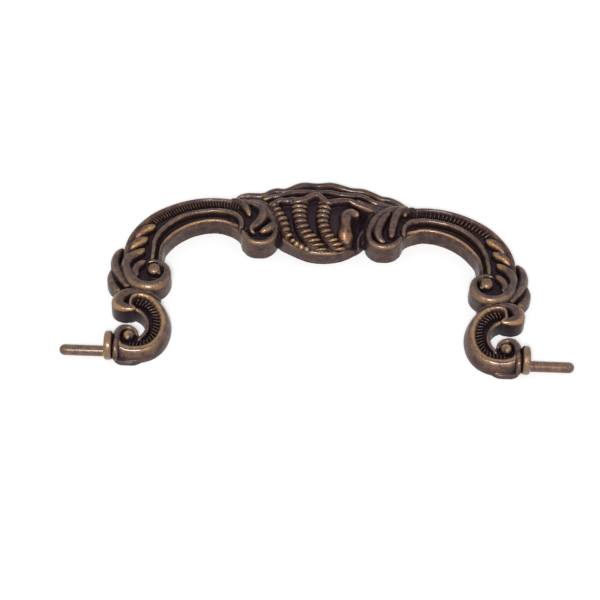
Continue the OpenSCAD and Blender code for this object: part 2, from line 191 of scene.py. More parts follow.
def stroke(anchors, foot=0.0, right_side=1.0, sharp=1.0):
    """Rounded ridge with rounded ends, along anchors of [x, y, half width, crest height].
    right_side scales its right half's width, and sharp above 1 pinches the crest."""
    path, along = smooth_path(anchors)
    half, crest = path[:, 2].copy(), path[:, 3]
    for gap in (along, along[-1] - along):
        near = np.clip(gap / np.maximum(half, 0.3), 0, 1)
        half *= np.sqrt(np.clip(1 - (1 - near) ** 2, 0.02, 1))
    sections = []
    for h, z in zip(half, crest):
        spring = max(foot + 0.05, z - SPRING * max(h, THINNEST))
        side = np.where(ARC < math.pi / 2, right_side, 1.0)
        x = -h * np.cos(ARC) * side
        y = spring + (z - spring) * np.sin(ARC) ** sharp
        ring = np.column_stack([x, y])
        sections.append(np.vstack([[-h * right_side * SPREAD, foot], ring, [h * SPREAD, foot]]))
    return skin(stand_across(path, sections))


def smooth_section(points, count=44):
    """Section with its corners eased: [offset, height] pairs along a smooth curve."""
    path, _ = smooth_path(points, stations=count)
    return path


# Rounding of a drum's top edge, and how much wider its foot is
DRUM_EDGE, DRUM_DRAFT = 0.3, 0.04


def drum(x, y, r, top, foot=0.0):
    """Round drum with a rounded top edge."""
    turn = np.linspace(0, 2 * math.pi, 48, endpoint=False)
    levels = [(foot, r * (1 + DRUM_DRAFT)), (top - DRUM_EDGE, r)]
    for a in (0.5, 1.0, math.pi / 2):
        levels.append((top - DRUM_EDGE * (1 - math.sin(a)), r - DRUM_EDGE * (1 - math.cos(a))))
    return skin([np.column_stack([x + rr * np.cos(turn), y + rr * np.sin(turn), np.full(48, z)])
                 for z, rr in levels])


def ball(x, y, z, r, tall=1.0):
    """Bead, stretched upwards by tall."""
    turn = np.linspace(0, 2 * math.pi, 24, endpoint=False)
    return skin([np.column_stack([x + r * math.cos(a) * np.cos(turn), y + r * math.cos(a) * np.sin(turn),
                                  np.full(24, z + r * tall * math.sin(a))])
                 for a in np.linspace(-1.55, 1.55, 15)])


def plate(outline, top):
    """Flat plate with a smooth outline."""
    path, _ = smooth_path(list(outline) + [outline[0]], spacing=0.5)
    ring = path[:-1, :2]
    return skin([np.column_stack([ring, np.full(len(ring), z)]) for z in (0, top)])


def turned(profile, y, z, put):
    """Round form about an axis along X: [x, radius] pairs, drawn on the left."""
    turn = np.linspace(0, 2 * math.pi, 64, endpoint=False)
    put(*skin([np.column_stack([np.full(64, x), y - r * np.cos(turn), z + r * np.sin(turn)])
               for x, r in profile]))


# Arm
# Centre line from the volute up to the boss: [x, y, half width]
ARM_CENTRE = [
    (-36.6, 17.2, 3.5), (-37.3, 20.3, 4.15), (-37.35, 24.1, 4.25), (-36.4, 27.4, 4.05), (-33.7, 30.8, 3.85),
    (-30.2, 33.2, 3.55), (-27, 34.5, 3.4), (-24, 35.1, 3.3), (-21, 35.1, 3.3), (-18.2, 34.5, 3.5),
    (-14.5, 33.2, 3.7)]
# Section: inner wall, inner rim, groove, floor under the middle rim, notched slope, outer rim
ARM_SECTION = [
    (-1.02, 0), (-1, 1.6), (-0.99, 3.2), (-0.97, 3.95), (-0.92, 4.5), (-0.85, 4.66), (-0.78, 4.5),
    (-0.72, 4), (-0.66, 3.3), (-0.55, 3), (-0.4, 3), (-0.1, 3), (0.12, 3.1), (0.3, 3.25), (0.5, 3.6),
    (0.62, 4.15), (0.74, 4.68), (0.87, 4.6), (0.97, 3.9), (1, 2.9), (1.01, 1.4), (1.01, 0)]
MIDDLE_RIM = [
    (-35.5, 21.2, 0.42, 4.4), (-35.4, 22.4, 0.5, 4.7), (-35.3, 24.3, 0.54, 4.9), (-35.1, 26.4, 0.57, 5),
    (-34.1, 28.7, 0.58, 5.05), (-32.6, 30.6, 0.58, 5.05), (-30.6, 32.3, 0.58, 5.1), (-28.4, 33.5, 0.58, 5.1),
    (-25.8, 34.2, 0.58, 5.15), (-23.2, 34.6, 0.6, 5.2), (-20.6, 34.5, 0.62, 5.3), (-18.6, 33.9, 0.62, 5.35),
    (-17.3, 32.7, 0.65, 5.4), (-16.9, 31.2, 0.62, 5.5), (-17, 29.6, 0.5, 5.6)]
# Lobes of the acanthus, from the outer edge to the tip
LOBES = [
    [(-40, 26.7, 0.6, 4), (-38.9, 28, 1.05, 4.7), (-37.5, 29.1, 1.1, 5.1), (-36.2, 29.8, 0.95, 5.15),
     (-35.2, 30.4, 0.6, 4.7)],
    [(-41, 23.7, 0.6, 4.1), (-39.9, 24.9, 1.1, 4.85), (-38.7, 25.8, 1.15, 5.15), (-37.5, 26.5, 0.95, 5.15),
     (-36.6, 27.1, 0.6, 4.7)],
    [(-40.4, 18.6, 1, 4.8), (-40.8, 20.4, 1.15, 5), (-40.2, 21.8, 1.15, 5.15), (-39.1, 22.7, 1, 5.25),
     (-38, 23.4, 0.8, 5.2), (-37.1, 24.1, 0.5, 4.8)],
    [(-38.4, 16.9, 0.8, 5.1), (-38.8, 18.4, 0.85, 5.15), (-38.4, 19.6, 0.8, 5.25), (-37.6, 20.4, 0.7, 5.25),
     (-36.8, 21.1, 0.45, 4.8)]]
# Notches: the share of the arm where they start and end, their line's place across it as a share of
# its half width, and the height and half length of each
NOTCH_FROM, NOTCH_TO = 0.4, 0.93
NOTCH_LINE = 0.48
NOTCH_Z = 3.65
NOTCH_HALF = 0.9
NOTCH_LEAN = 0.2
LEFT_PITCH, RIGHT_PITCH = 0.62, 0.87
ARM_HALF = 3.6


def arm(put):
    path, _ = smooth_path(ARM_CENTRE, spacing=0.35)
    profile = smooth_section(ARM_SECTION)
    put(*skin(stand_across(path, [profile * [half, 1] for half in path[:, 2]])))
    put(*stroke(MIDDLE_RIM, foot=1, sharp=1.15))
    for lobe in LOBES:
        put(*stroke(lobe, foot=2))


def notch_path():
    """Line along the slope inside the outer rim, where the notches lie: [x, y, z, half length, lean]."""
    path, _ = smooth_path(ARM_CENTRE, spacing=0.35)
    n = left_of(path)
    keep = slice(int(NOTCH_FROM * len(path)), int(NOTCH_TO * len(path)))
    shift = NOTCH_LINE * path[:, 2]
    same = np.ones(len(path))
    line = np.column_stack([path[:, 0] + n[:, 0] * shift, path[:, 1] + n[:, 1] * shift,
                            NOTCH_Z * same, NOTCH_HALF * same, NOTCH_LEAN * same])
    return line[keep]


# Volute
EYE = (-34.9, 19.2)
EYE_R = 1.38
EYE_TOP = 4.3
DOME_R, DOME_RISE = 1.4, 0.65
# The pit's floor lies round a point a little in front of the eye
PIT_AHEAD = 0.7
PIT_R = 3.6
PIT_TOP = 3
VOLUTE_RIM = [
    (-40.8, 20.8, 0.6, 4.9), (-40.35, 18.6, 1.05, 5.05), (-39.4, 16.75, 1.25, 5.25),
    (-38.05, 15.35, 1.3, 5.4), (-36.35, 14.8, 1.3, 5.45), (-34.6, 15.05, 1.25, 5.4),
    (-33.2, 15.95, 1.15, 5.3), (-32.3, 17.4, 1, 5.15), (-32.2, 19, 0.8, 4.95), (-32.7, 20.2, 0.62, 4.8),
    (-33.8, 21, 0.48, 4.7), (-35.1, 21.3, 0.4, 4.6), (-36.3, 20.9, 0.3, 4.4)]
LEAVES = [
    [(-41.8, 25.2, 0.3, 3.1), (-42.8, 23.7, 0.85, 3.6), (-43.2, 21.4, 1.05, 3.8), (-42.5, 19, 1.05, 4),
     (-41.2, 16.7, 0.9, 4.05), (-40, 15, 0.6, 3.8)],
    [(-43.8, 20.2, 0.3, 2.6), (-43.9, 17.9, 0.85, 3.1), (-43.2, 15.8, 0.95, 3.4), (-41.8, 14.1, 0.7, 3.4)]]
LEAF_WEB = [(-42.6, 23.4), (-43.7, 19.5), (-43.5, 16.2), (-42.2, 13.8), (-36, 13.4), (-36, 24), (-40.5, 25)]
LEAF_WEB_TOP = 2


def volute(put):
    put(*drum(EYE[0], EYE[1] - PIT_AHEAD, PIT_R, PIT_TOP))
    put(*ball(*EYE, EYE_TOP, DOME_R, tall=DOME_RISE))
    put(*drum(*EYE, EYE_R, EYE_TOP, foot=1))
    put(*stroke(VOLUTE_RIM, right_side=1.05))
    put(*plate(LEAF_WEB, LEAF_WEB_TOP))
    for leaf in LEAVES:
        put(*stroke(leaf))


# C scroll
# Crest of the rolled edge, from the hook round to the flange: [x, y, size, height]
ROLL = [
    (-38.4, 9.1, 0.45, 4.9), (-39.2, 9.7, 0.6, 5), (-39.3, 10.9, 0.65, 5.05), (-38.8, 12.1, 0.75, 5.05),
    (-37.4, 12.6, 0.9, 4.95), (-35.5, 12.2, 1.05, 4.8), (-33.9, 11, 1.15, 4.6), (-32.6, 9.1, 1.2, 4.4),
    (-31.9, 6.9, 1.25, 4.25), (-32, 4.6, 1.25, 4.1), (-32.8, 2.4, 1.25, 4), (-34.3, 0.7, 1.25, 3.85),
    (-36.3, -0.2, 1.3, 3.75), (-38.6, -0.4, 1.35, 3.75), (-40.2, -0.2, 1.35, 4), (-41.3, 0.2, 1.3, 4.3)]
# Section of the roll: [offset from its crest, positive outwards, share of its height]
ROLL_SECTION = [
    (1, 0), (1.06, 0.24), (1, 0.46), (0.86, 0.66), (0.6, 0.85), (0.3, 0.96), (0, 1), (-0.35, 0.98),
    (-0.7, 0.9), (-0.92, 0.78), (-1, 0.6), (-1.05, 0)]
HOOK = [
    (-38.1, 9, 0.55, 4.85), (-39.3, 9, 0.75, 5), (-40.4, 9.1, 0.95, 5), (-41.4, 9.5, 1.1, 5),
    (-42, 10.2, 1.15, 5), (-42.1, 11.2, 1.1, 5), (-41.6, 12.3, 1, 4.95), (-40.7, 13.1, 0.85, 4.85),
    (-39.4, 13.7, 0.65, 4.7), (-37.8, 13.9, 0.55, 4.5), (-36, 13.6, 0.5, 4.3), (-34.3, 12.8, 0.45, 4.1),
    (-33, 11.6, 0.4, 3.7)]
CHANNEL_RIM = [
    (-38.2, 9.1, 0.4, 4.6), (-36.9, 8.4, 0.42, 4.3), (-36, 7.4, 0.44, 4), (-35.5, 6.1, 0.44, 3.8),
    (-35.5, 4.8, 0.44, 3.6), (-36, 3.7, 0.42, 3.4), (-36.9, 2.7, 0.38, 3.1), (-37.5, 2, 0.3, 2.7)]
SMALL_RIM = [
    (-40.6, -0.3, 0.8, 4), (-41.5, 1.3, 0.82, 4.5), (-41.6, 2.9, 0.8, 4.6), (-41, 4.3, 0.72, 4.45),
    (-39.9, 4.9, 0.62, 4.2), (-38.6, 4.7, 0.52, 4), (-37.7, 3.9, 0.42, 3.8), (-37.4, 2.9, 0.32, 3.4)]
SMALL_EYE = (-39.2, 3)
SMALL_EYE_R = 1.15
SMALL_EYE_TOP = 3.4
SMALL_DOME_R, SMALL_DOME_RISE = 1.22, 0.75
# Floors of the channel, the pit under the hook and the small volute: [x, y, radius, top]
SCROLL_FLOORS = [
    (-40.4, 11.2, 2, 2.4), (-38.4, 11.2, 1.6, 2), (-36, 9.8, 2, 1.9), (-34.6, 8, 1.5, 1.8),
    (-34, 6, 1.4, 1.8), (-34.2, 4, 1.5, 1.7), (-35.6, 2.2, 1.7, 1.7), (-38, 1.2, 1.6, 1.7),
    (-39.3, 2.6, 2.2, 2)]
# Line of the flutes up the inner flank of the roll: [x, y, z, half length]
FLUTES = [
    (-37.9, 11.2, 3, 0.8), (-36.4, 10.9, 3, 0.9), (-35, 9.9, 3, 1), (-34, 8.4, 2.9, 1.1),
    (-33.6, 6.6, 2.8, 1.15), (-33.7, 4.8, 2.7, 1.15), (-34.3, 3.1, 2.6, 1.1), (-35.6, 1.9, 2.5, 1),
    (-37.2, 1.4, 2.4, 0.8), (-38.8, 1.4, 2.3, 0.5)]
FLUTE_PITCH = 0.74
FLUTE_LEAN = -0.35
LUG = [(-42.3, -0.6), (-42, -1.4), (-41.2, -2.1), (-39.9, -2.35), (-37.9, -2.3), (-36.7, -1.8),
       (-36, -1), (-37, 0.5), (-41, 0.5)]
LUG_TOP = 1.4
# Narrow ring beside the flange
COLLAR_X, COLLAR_Y = -41.7, 0.2
COLLAR_T = 1.2
COLLAR_R = 2.5
COLLAR_EDGE = 0.45


def flute_path():
    """Line of the flutes: [x, y, z, half length, lean]."""
    return smooth_path([(*flute, FLUTE_LEAN) for flute in FLUTES])[0]


def c_scroll(put):
    path, _ = smooth_path(ROLL)
    profile = smooth_section(ROLL_SECTION, 40)
    put(*skin(stand_across(path, [profile * [half, high] for half, high in path[:, 2:4]])))
    put(*stroke(HOOK, right_side=1.55))
    put(*stroke(CHANNEL_RIM))
    put(*stroke(SMALL_RIM))
    for floor in SCROLL_FLOORS:
        put(*drum(*floor))
    put(*drum(*SMALL_EYE, SMALL_EYE_R, SMALL_EYE_TOP, foot=1))
    put(*ball(*SMALL_EYE, SMALL_EYE_TOP, SMALL_DOME_R, tall=SMALL_DOME_RISE))
    put(*plate(LUG, LUG_TOP))
    turned([(COLLAR_X + COLLAR_T / 2 * math.cos(a), COLLAR_R - COLLAR_EDGE * (1 - math.sin(a)))
            for a in np.linspace(math.pi, 0, 13)], COLLAR_Y, COLLAR_R, put)


# Boss
BOSS_RIM = [
    (-16.6, 29.4, 0.5, 5.5), (-16, 28, 0.6, 5.7), (-14.9, 26.8, 0.65, 5.8), (-13.5, 26.4, 0.65, 5.8),
    (-11.9, 26.5, 0.65, 5.8), (-10.7, 27.2, 0.65, 5.8), (-9.9, 28.2, 0.65, 5.8), (-9.5, 29.6, 0.65, 5.9),
    (-9.7, 31.1, 0.8, 6.05), (-10.2, 32.7, 0.95, 6.2), (-11.1, 34.2, 1, 6.2), (-12.4, 35.3, 0.95, 6.1),
    (-14, 36.2, 0.75, 5.9), (-15.7, 37, 0.5, 5.4), (-17.2, 37.7, 0.35, 4.9)]
STRANDS = [
    [(-19.4, 37.9, 0.7, 4.7), (-17.6, 37.2, 0.85, 5.2), (-16.4, 35.9, 0.85, 5.6), (-15.6, 34.4, 0.65, 5.7),
     (-15.2, 33.2, 0.35, 5.3)],
    [(-13.3, 36, 0.9, 5.9), (-12.4, 34.8, 1.2, 6.2), (-12.4, 33.3, 1.2, 6.3), (-13, 32, 1.1, 6.2),
     (-13.8, 31, 0.9, 6.1), (-14.6, 30.1, 0.65, 5.95), (-14.6, 29.2, 0.5, 5.7), (-13.9, 28.7, 0.35, 5.3)],
    [(-9.7, 32.4, 0.6, 5.9), (-9.9, 31.3, 0.95, 6.15), (-10.8, 30.3, 1.05, 6.2), (-12.1, 29.4, 0.8, 6),
     (-13, 28.9, 0.45, 5.5)]]
RIGHT_STRANDS = [
    [(-19.4, 37.7, 0.7, 4.7), (-17.8, 37, 0.8, 5.1), (-16.9, 35.9, 0.7, 5.4), (-16.5, 34.8, 0.4, 5.2)],
    [(-16.9, 37.3, 0.5, 5.2), (-15.6, 36.2, 0.85, 5.8), (-14.8, 34.4, 0.95, 6.2), (-14.5, 32.2, 0.95, 6.15),
     (-14.4, 30.4, 0.85, 6), (-14.6, 28.8, 0.6, 5.5)],
    [(-13.4, 35.2, 0.5, 5.9), (-12.3, 33.6, 0.9, 6.2), (-11.6, 31.6, 1.05, 6.25), (-11.5, 29.9, 0.95, 6.1),
     (-12.2, 28.4, 0.75, 5.7), (-13.3, 27.6, 0.4, 5.2)]]
BOSS_WEB = [(-19.5, 31.3), (-17.8, 30.2), (-16.8, 28.9), (-16.2, 27.2), (-13, 28.5), (-11.5, 33), (-14, 36.8),
            (-19, 38)]
BOSS_WEB_TOP = 3.6
# Floor between the strands: [x, y, radius, top]
BOSS_FLOORS = [(-13, 29.6, 3.65, 3.9), (-13.3, 33, 3.2, 3.9)]


def boss(put, strands):
    for floor in BOSS_FLOORS:
        put(*drum(*floor))
    put(*plate(BOSS_WEB, BOSS_WEB_TOP))
    put(*stroke(BOSS_RIM))
    for strand in strands:
        put(*stroke(strand, foot=2))


# Shell
SHELL_FRONT = [
    (-14, 34.4), (-11, 31), (-8.6, 28.2), (-6.3, 26.9), (-4.5, 26), (-2.4, 25.2), (-0.1, 24.9), (2.5, 25.1),
    (5, 25.8), (6.9, 26.9), (8.8, 28.3), (11, 31), (14, 34.4)]
SHELL_BACK = [
    (-18.8, 39.2), (-17.3, 40.3), (-15.4, 40.7), (-12.3, 40.7), (-10, 42.1), (-7.3, 42.2), (-4, 43.6),
    (0, 44.2), (3.8, 43.4), (8.7, 42.7), (12.8, 41.1), (16.4, 40.1), (19.1, 38)]
# Section of the shell's body from the front wall to the back edge: [share of the depth, height]
SHELL_SECTION = [
    (0, 0), (0, 1.8), (0.004, 3), (0.015, 3.8), (0.04, 4.15), (0.09, 4.5), (0.2, 5.2), (0.34, 6), (0.6, 6.2),
    (0.66, 5.9), (0.7, 5.1), (0.8, 4.5), (0.84, 4), (0.9, 3.2), (0.97, 3), (1, 2.6), (1, 0)]
# Hollows that run back from the front on either side: [x, half width, depth as a share of the height]
SHELL_HOLLOWS = [(-10.2, 1.1, 0.3), (7.9, 1.7, 0.5)]
# Share of the depth at which the hollows are gone, and over which they fade
HOLLOW_END, HOLLOW_FADE = 0.72, 0.1
# Height of the shell at its ends and its swell towards the middle, as shares of the full height
SHELL_ENDS, SHELL_SWELL = 0.7, 0.3
SHELL_FULLNESS = 0.7
# Crests of the ribs: [x, y, height, half width, lean of the bars from square]
RIBS = [
    [(-9.9, 35.4, 7, 1.1, -0.1), (-9, 33.4, 7.2, 1.25, -0.2), (-8.1, 31.6, 7.2, 1.3, -0.2),
     (-7.6, 30.1, 7.1, 1.25, -0.2), (-7.1, 28.8, 6.8, 1.1, -0.3), (-6.4, 27.7, 6.3, 0.95, -0.4),
     (-5.8, 27.1, 5.9, 0.85, -0.35)],
    [(-4.8, 35.9, 7.6, 2.3, 0), (-4.7, 34.5, 7.85, 2.05, -0.05), (-4.6, 33, 8, 1.75, -0.1),
     (-4.4, 31.5, 8.05, 1.65, -0.15), (-3.9, 29.9, 7.9, 1.65, -0.25), (-3.05, 28.7, 7.5, 1.65, -0.4),
     (-2, 27.7, 7, 1.7, -0.55), (-1, 26.9, 6.4, 1.75, -0.65), (0, 26.2, 5.7, 1.8, -0.7),
     (0.7, 25.7, 5, 1.7, -0.7)],
    [(0.8, 35.9, 7.6, 1.95, 0), (0.6, 34.5, 7.85, 1.75, 0), (0.4, 33, 8, 1.55, 0),
     (0.3, 31.5, 8.05, 1.5, -0.05), (0.6, 29.9, 8, 1.5, -0.15), (1.3, 28.5, 7.6, 1.45, -0.35),
     (2.2, 27.5, 7.1, 1.4, -0.5), (3.1, 26.8, 6.5, 1.4, -0.6), (3.9, 26.3, 5.9, 1.45, -0.65),
     (4.5, 25.9, 5.2, 1.4, -0.65)]]
# The core of a rib lies under the bars and is a little narrower
CORE_SHARE = 0.95
CORE_UNDER = 0.6
# Pearls that end the first rib: [x, y, z, radius]
PEARLS = [(-5.05, 26.75, 4.75, 0.72), (-4, 26.15, 4.5, 0.75), (-2.85, 25.75, 4.3, 0.68)]
SMOOTH_LOBE = [
    (8, 33, 0.4, 7), (7.2, 33.6, 0.8, 7.5), (6.1, 33.7, 1.15, 7.8), (5.3, 32.9, 1.4, 7.9),
    (5.2, 31.5, 1.2, 7.9), (5.2, 30.2, 1.25, 7.7), (5.1, 29, 1.65, 7.3), (5.4, 27.8, 1.9, 6.6),
    (5.8, 26.8, 1.4, 5.6)]
THIN_ARC = [
    (11.7, 32.9, 0.3, 3.5), (9.9, 32.4, 0.4, 3.6), (9, 31.6, 0.5, 3.6), (8.3, 30.2, 0.55, 3.5),
    (8, 28.6, 0.55, 3.4), (8.2, 27, 0.4, 3.2)]
SHELL_LIP = [
    (-8.2, 28.2, 0.35, 4.6), (-5.6, 26.7, 0.45, 4.5), (-3, 25.6, 0.5, 4.3), (0, 25.25, 0.5, 4.2),
    (3, 25.5, 0.5, 4.1), (5.2, 26.2, 0.4, 3.8)]
FRONT_RIM = [
    (-11.3, 35.3, 0.35, 6.6), (-9.9, 35.9, 0.55, 7.2), (-8.7, 36.3, 0.65, 7.5), (-7.4, 36.2, 0.7, 7.6),
    (-6.2, 36.5, 0.75, 7.7), (-5, 36.2, 0.75, 7.9), (-3.6, 36.5, 0.75, 8), (-2.5, 37.2, 0.7, 8.05),
    (-1.3, 37.7, 0.65, 8.1), (-0.3, 37.3, 0.65, 8.05), (0.6, 36.3, 0.7, 8), (1.5, 35.9, 0.75, 7.95),
    (2.6, 36.2, 0.75, 7.9), (4, 36.6, 0.7, 7.8), (6, 36.8, 0.55, 7.5)]
BACK_BANDS = [
    [(-12.6, 37.7, 0.4, 5.3), (-10.8, 38.3, 0.55, 5.8), (-9.2, 38.5, 0.6, 6), (-6.9, 39.3, 0.6, 6.1),
     (-4.2, 39.7, 0.65, 6.1), (-2.4, 39.9, 0.55, 5.8), (-0.6, 40.1, 0.5, 5.5), (1.7, 39.9, 0.6, 6),
     (3.8, 39.4, 0.65, 6.1), (6.3, 39.3, 0.6, 6), (8.3, 39.3, 0.6, 5.9), (9.7, 38.7, 0.6, 5.9),
     (11, 37.9, 0.6, 5.8), (12.8, 37.5, 0.6, 5.5), (14.8, 37.1, 0.55, 5.1), (17, 37, 0.4, 4.6)],
    [(5.6, 36.9, 0.55, 7.6), (7.4, 36.3, 0.75, 7.2), (9.2, 35.8, 0.8, 6.8), (11, 35.4, 0.7, 6.4),
     (12.9, 35.1, 0.4, 5.8)],
    [(7.4, 37.9, 0.3, 6), (9.4, 37.1, 0.45, 5.9), (11.6, 36.4, 0.45, 5.7), (13.6, 36.1, 0.3, 5.3)]]
TOP_RIM = [
    (-18.4, 38.9, 0.4, 3.5), (-17.2, 39.6, 0.6, 3.8), (-15.6, 39.9, 0.7, 3.9), (-13.8, 39.8, 0.75, 4),
    (-12.2, 40, 0.8, 4), (-11, 40.8, 0.8, 4), (-9.7, 41.2, 0.8, 4.1), (-8, 41.1, 0.75, 4.2),
    (-6.6, 41.6, 0.75, 4.4), (-5.2, 42.3, 0.85, 4.5), (-3.6, 42.8, 0.85, 4.4), (-1.8, 43.1, 0.75, 3.9),
    (-0.4, 43.2, 0.7, 3.8), (1.8, 43.1, 0.8, 4.3), (3.8, 42.5, 0.85, 4.5), (6.3, 41.9, 0.75, 4.3),
    (8.7, 41.8, 0.8, 4.2), (10.6, 41.2, 0.8, 4.1), (12.8, 40.2, 0.75, 4), (14.6, 40, 0.7, 3.9),
    (16.3, 39.3, 0.7, 3.8), (17.8, 38.4, 0.6, 3.6), (18.8, 37.6, 0.4, 3.3)]


def shell(put):
    stations = 110
    front, _ = smooth_path(SHELL_FRONT, stations=stations)
    back, _ = smooth_path(SHELL_BACK, stations=stations)
    profile = smooth_section(SHELL_SECTION, 60)
    rings = []
    for p, q, at in zip(front, back, np.linspace(0, 1, stations)):
        swell = SHELL_ENDS + SHELL_SWELL * math.sin(math.pi * at) ** SHELL_FULLNESS
        across = p[0] + (q[0] - p[0]) * profile[:, 0]
        sunk = sum(depth * np.exp(-((across - x) / half) ** 2) for x, half, depth in SHELL_HOLLOWS)
        sunk = sunk * np.clip((HOLLOW_END - profile[:, 0]) / HOLLOW_FADE, 0, 1)
        rings.append(np.column_stack([across, p[1] + (q[1] - p[1]) * profile[:, 0],
                                      profile[:, 1] * swell * (1 - sunk)]))
    put(*skin(rings))
    for rib in RIBS:
        core = [(x, y, CORE_SHARE * half, z - CORE_UNDER) for x, y, z, half, _ in rib[:-1]]
        put(*stroke(core, foot=2))
    for pearl in PEARLS:
        put(*ball(*pearl))
    put(*stroke(SHELL_LIP, foot=1))
    for ridge in (SMOOTH_LOBE, THIN_ARC, FRONT_RIM, *BACK_BANDS):
        put(*stroke(ridge, foot=2))
    put(*stroke(TOP_RIM))


# Pin end
FLANGE_R = 3.05
FLANGE_Y = 0.6
FLANGE_T = 1.7
FLANGE_EDGE = 0.6
NECK_R = 1.55
NECK_Y = 0.1
NECK_LONG = 2.5
BACK_GAP = 0.05
# Forms run into one another by this much, and the pin's root reaches this far behind the flange's face
OVERLAP = 0.3
PIN_ROOT = 3
# A turned form closes on its axis at this radius
AXIS_R = 0.02
SHANK_RINGS, SHANK_STOP = 12, 0.1


def pin_end(put):
    arc = np.linspace(0, math.pi / 2, 9)
    tip = [(-TIP_X + PIN_R * (1 - math.sin(a)), max(AXIS_R, PIN_R * math.cos(a))) for a in arc[::-1]]
    # Even rings along the shank, so that the light runs evenly along it
    shank = [(x, PIN_R) for x in np.linspace(-TIP_X + PIN_R, -FACE_X - SHANK_STOP, SHANK_RINGS)[1:]]
    turned(tip + shank + [(-FACE_X + PIN_ROOT, PIN_R)], 0, PIN_Z, put)
    back_x = -FACE_X + FLANGE_T
    flange = [(-FACE_X, AXIS_R), (-FACE_X, FLANGE_R - FLANGE_EDGE)]
    for a in arc:
        flange.append((-FACE_X + FLANGE_EDGE * (1 - math.cos(a)), FLANGE_R - FLANGE_EDGE * (1 - math.sin(a))))
    for a in arc:
        flange.append((back_x - FLANGE_EDGE * (1 - math.sin(a)), FLANGE_R - FLANGE_EDGE * (1 - math.cos(a))))
    turned(flange + [(back_x, AXIS_R)], FLANGE_Y, FLANGE_R + BACK_GAP, put)
    turned([(back_x - OVERLAP, NECK_R), (back_x + NECK_LONG, NECK_R)], NECK_Y, NECK_R + BACK_GAP, put)


# Nodes
def feed(tree, node, inputs):
    """Link each input of a node to a socket, or set it to a value."""
    for name, value in inputs.items():
        if isinstance(value, bpy.types.NodeSocket):
            tree.links.new(value, node.inputs[name])
        else:
            node.inputs[name].default_value = value


def add(tree, kind, inputs=None, **settings):
    """Outputs of a new node."""
    made = tree.nodes.new(kind)
    for name, value in settings.items():
        setattr(made, name, value)
    feed(tree, made, inputs or {})
    return made.outputs


def maths(tree, operation, *values, clamp=False):
    return add(tree, "ShaderNodeMath", dict(enumerate(values)), operation=operation, use_clamp=clamp)[0]


# Rows of small forms along a path
BAR_FULLNESS = 0.75


def fuller(tree, bead, arch):
    """Set a ball's points outwards along Y, and down by arch at the ends, as a bar laid over a rib."""
    place = add(tree, "GeometryNodeInputPosition")["Position"]
    apart = add(tree, "ShaderNodeSeparateXYZ", {"Vector": place})
    y = apart["Y"]
    size = maths(tree, "POWER", maths(tree, "ABSOLUTE", y), BAR_FULLNESS)
    drop = maths(tree, "MULTIPLY", maths(tree, "MULTIPLY", y, y), arch)
    moved = add(tree, "ShaderNodeCombineXYZ", {
        "X": apart["X"],
        "Y": maths(tree, "MULTIPLY", size, maths(tree, "SIGN", y)),
        "Z": maths(tree, "SUBTRACT", apart["Z"], drop)})["Vector"]
    return add(tree, "GeometryNodeSetPosition", {"Geometry": bead, "Position": moved})["Geometry"]


def row_tree():
    """Geometry nodes that set beads along a path at an even spacing, square to it."""
    tree = bpy.data.node_groups.new("row_of_beads", "GeometryNodeTree")
    kinds = {"Path": "Geometry", "Spacing": "Float", "Thickness": "Float", "Height": "Float",
             "Arch": "Float", "Unevenness": "Float", "Seed": "Int", "Finish": "Material"}
    for name, kind in kinds.items():
        tree.interface.new_socket(name, in_out="INPUT", socket_type="NodeSocket" + kind)
    tree.interface.new_socket("Beads", in_out="OUTPUT", socket_type="NodeSocketGeometry")
    given = add(tree, "NodeGroupInput")
    curve = add(tree, "GeometryNodeMeshToCurve", {"Mesh": given["Path"]})["Curve"]
    spaced = {"Curve": curve, "Length": given["Spacing"]}
    even = add(tree, "GeometryNodeResampleCurve", spaced, mode="LENGTH")["Curve"]
    half, turn = (add(tree, "GeometryNodeInputNamedAttribute", {"Name": name}, data_type="FLOAT")["Attribute"]
                  for name in ("half", "lean"))
    # Each bead turns to the path, first about Z and then to its slope
    tangent = add(tree, "GeometryNodeInputTangent")["Tangent"]
    facing = "FunctionNodeAlignRotationToVector"
    yaw = add(tree, facing, {"Vector": tangent}, axis="X", pivot_axis="Z")["Rotation"]
    pitch = add(tree, facing, {"Rotation": yaw, "Vector": tangent}, axis="X", pivot_axis="Y")["Rotation"]
    tilt = add(tree, "FunctionNodeAxisAngleToRotation", {"Axis": (0, 0, 1), "Angle": turn})["Rotation"]
    turns = {"Rotation": pitch, "Rotate By": tilt}
    lean = add(tree, "FunctionNodeRotateRotation", turns, rotation_space="LOCAL")["Rotation"]
    # Size: thickness along the path, the path's own half width across it, and height. A bar that
    # leans lies closer to the next, so it is thinner
    thick = maths(tree, "MULTIPLY", maths(tree, "COSINE", turn), given["Thickness"])
    size = add(tree, "ShaderNodeCombineXYZ", {"X": thick, "Y": half, "Z": given["Height"]})["Vector"]
    # The float inputs of a random value are its third and fourth, and its float output is the second
    low, high = (maths(tree, way, 1, given["Unevenness"]) for way in ("SUBTRACT", "ADD"))
    seeded = {2: low, 3: high, "Seed": given["Seed"]}
    chance = add(tree, "FunctionNodeRandomValue", seeded, data_type="FLOAT")[1]
    scale = add(tree, "ShaderNodeVectorMath", {"Vector": size, "Scale": chance}, operation="SCALE")["Vector"]
    bead = add(tree, "GeometryNodeMeshUVSphere", {"Segments": 16, "Rings": 9, "Radius": 1})["Mesh"]
    beads = add(tree, "GeometryNodeInstanceOnPoints", {
        "Points": even, "Instance": fuller(tree, bead, given["Arch"]),
        "Rotation": lean, "Scale": scale})["Instances"]
    real = add(tree, "GeometryNodeRealizeInstances", {"Geometry": beads})["Geometry"]
    coat = add(tree, "GeometryNodeSetMaterial", {"Geometry": real, "Material": given["Finish"]})["Geometry"]
    add(tree, "NodeGroupOutput", {"Beads": coat})
    return tree


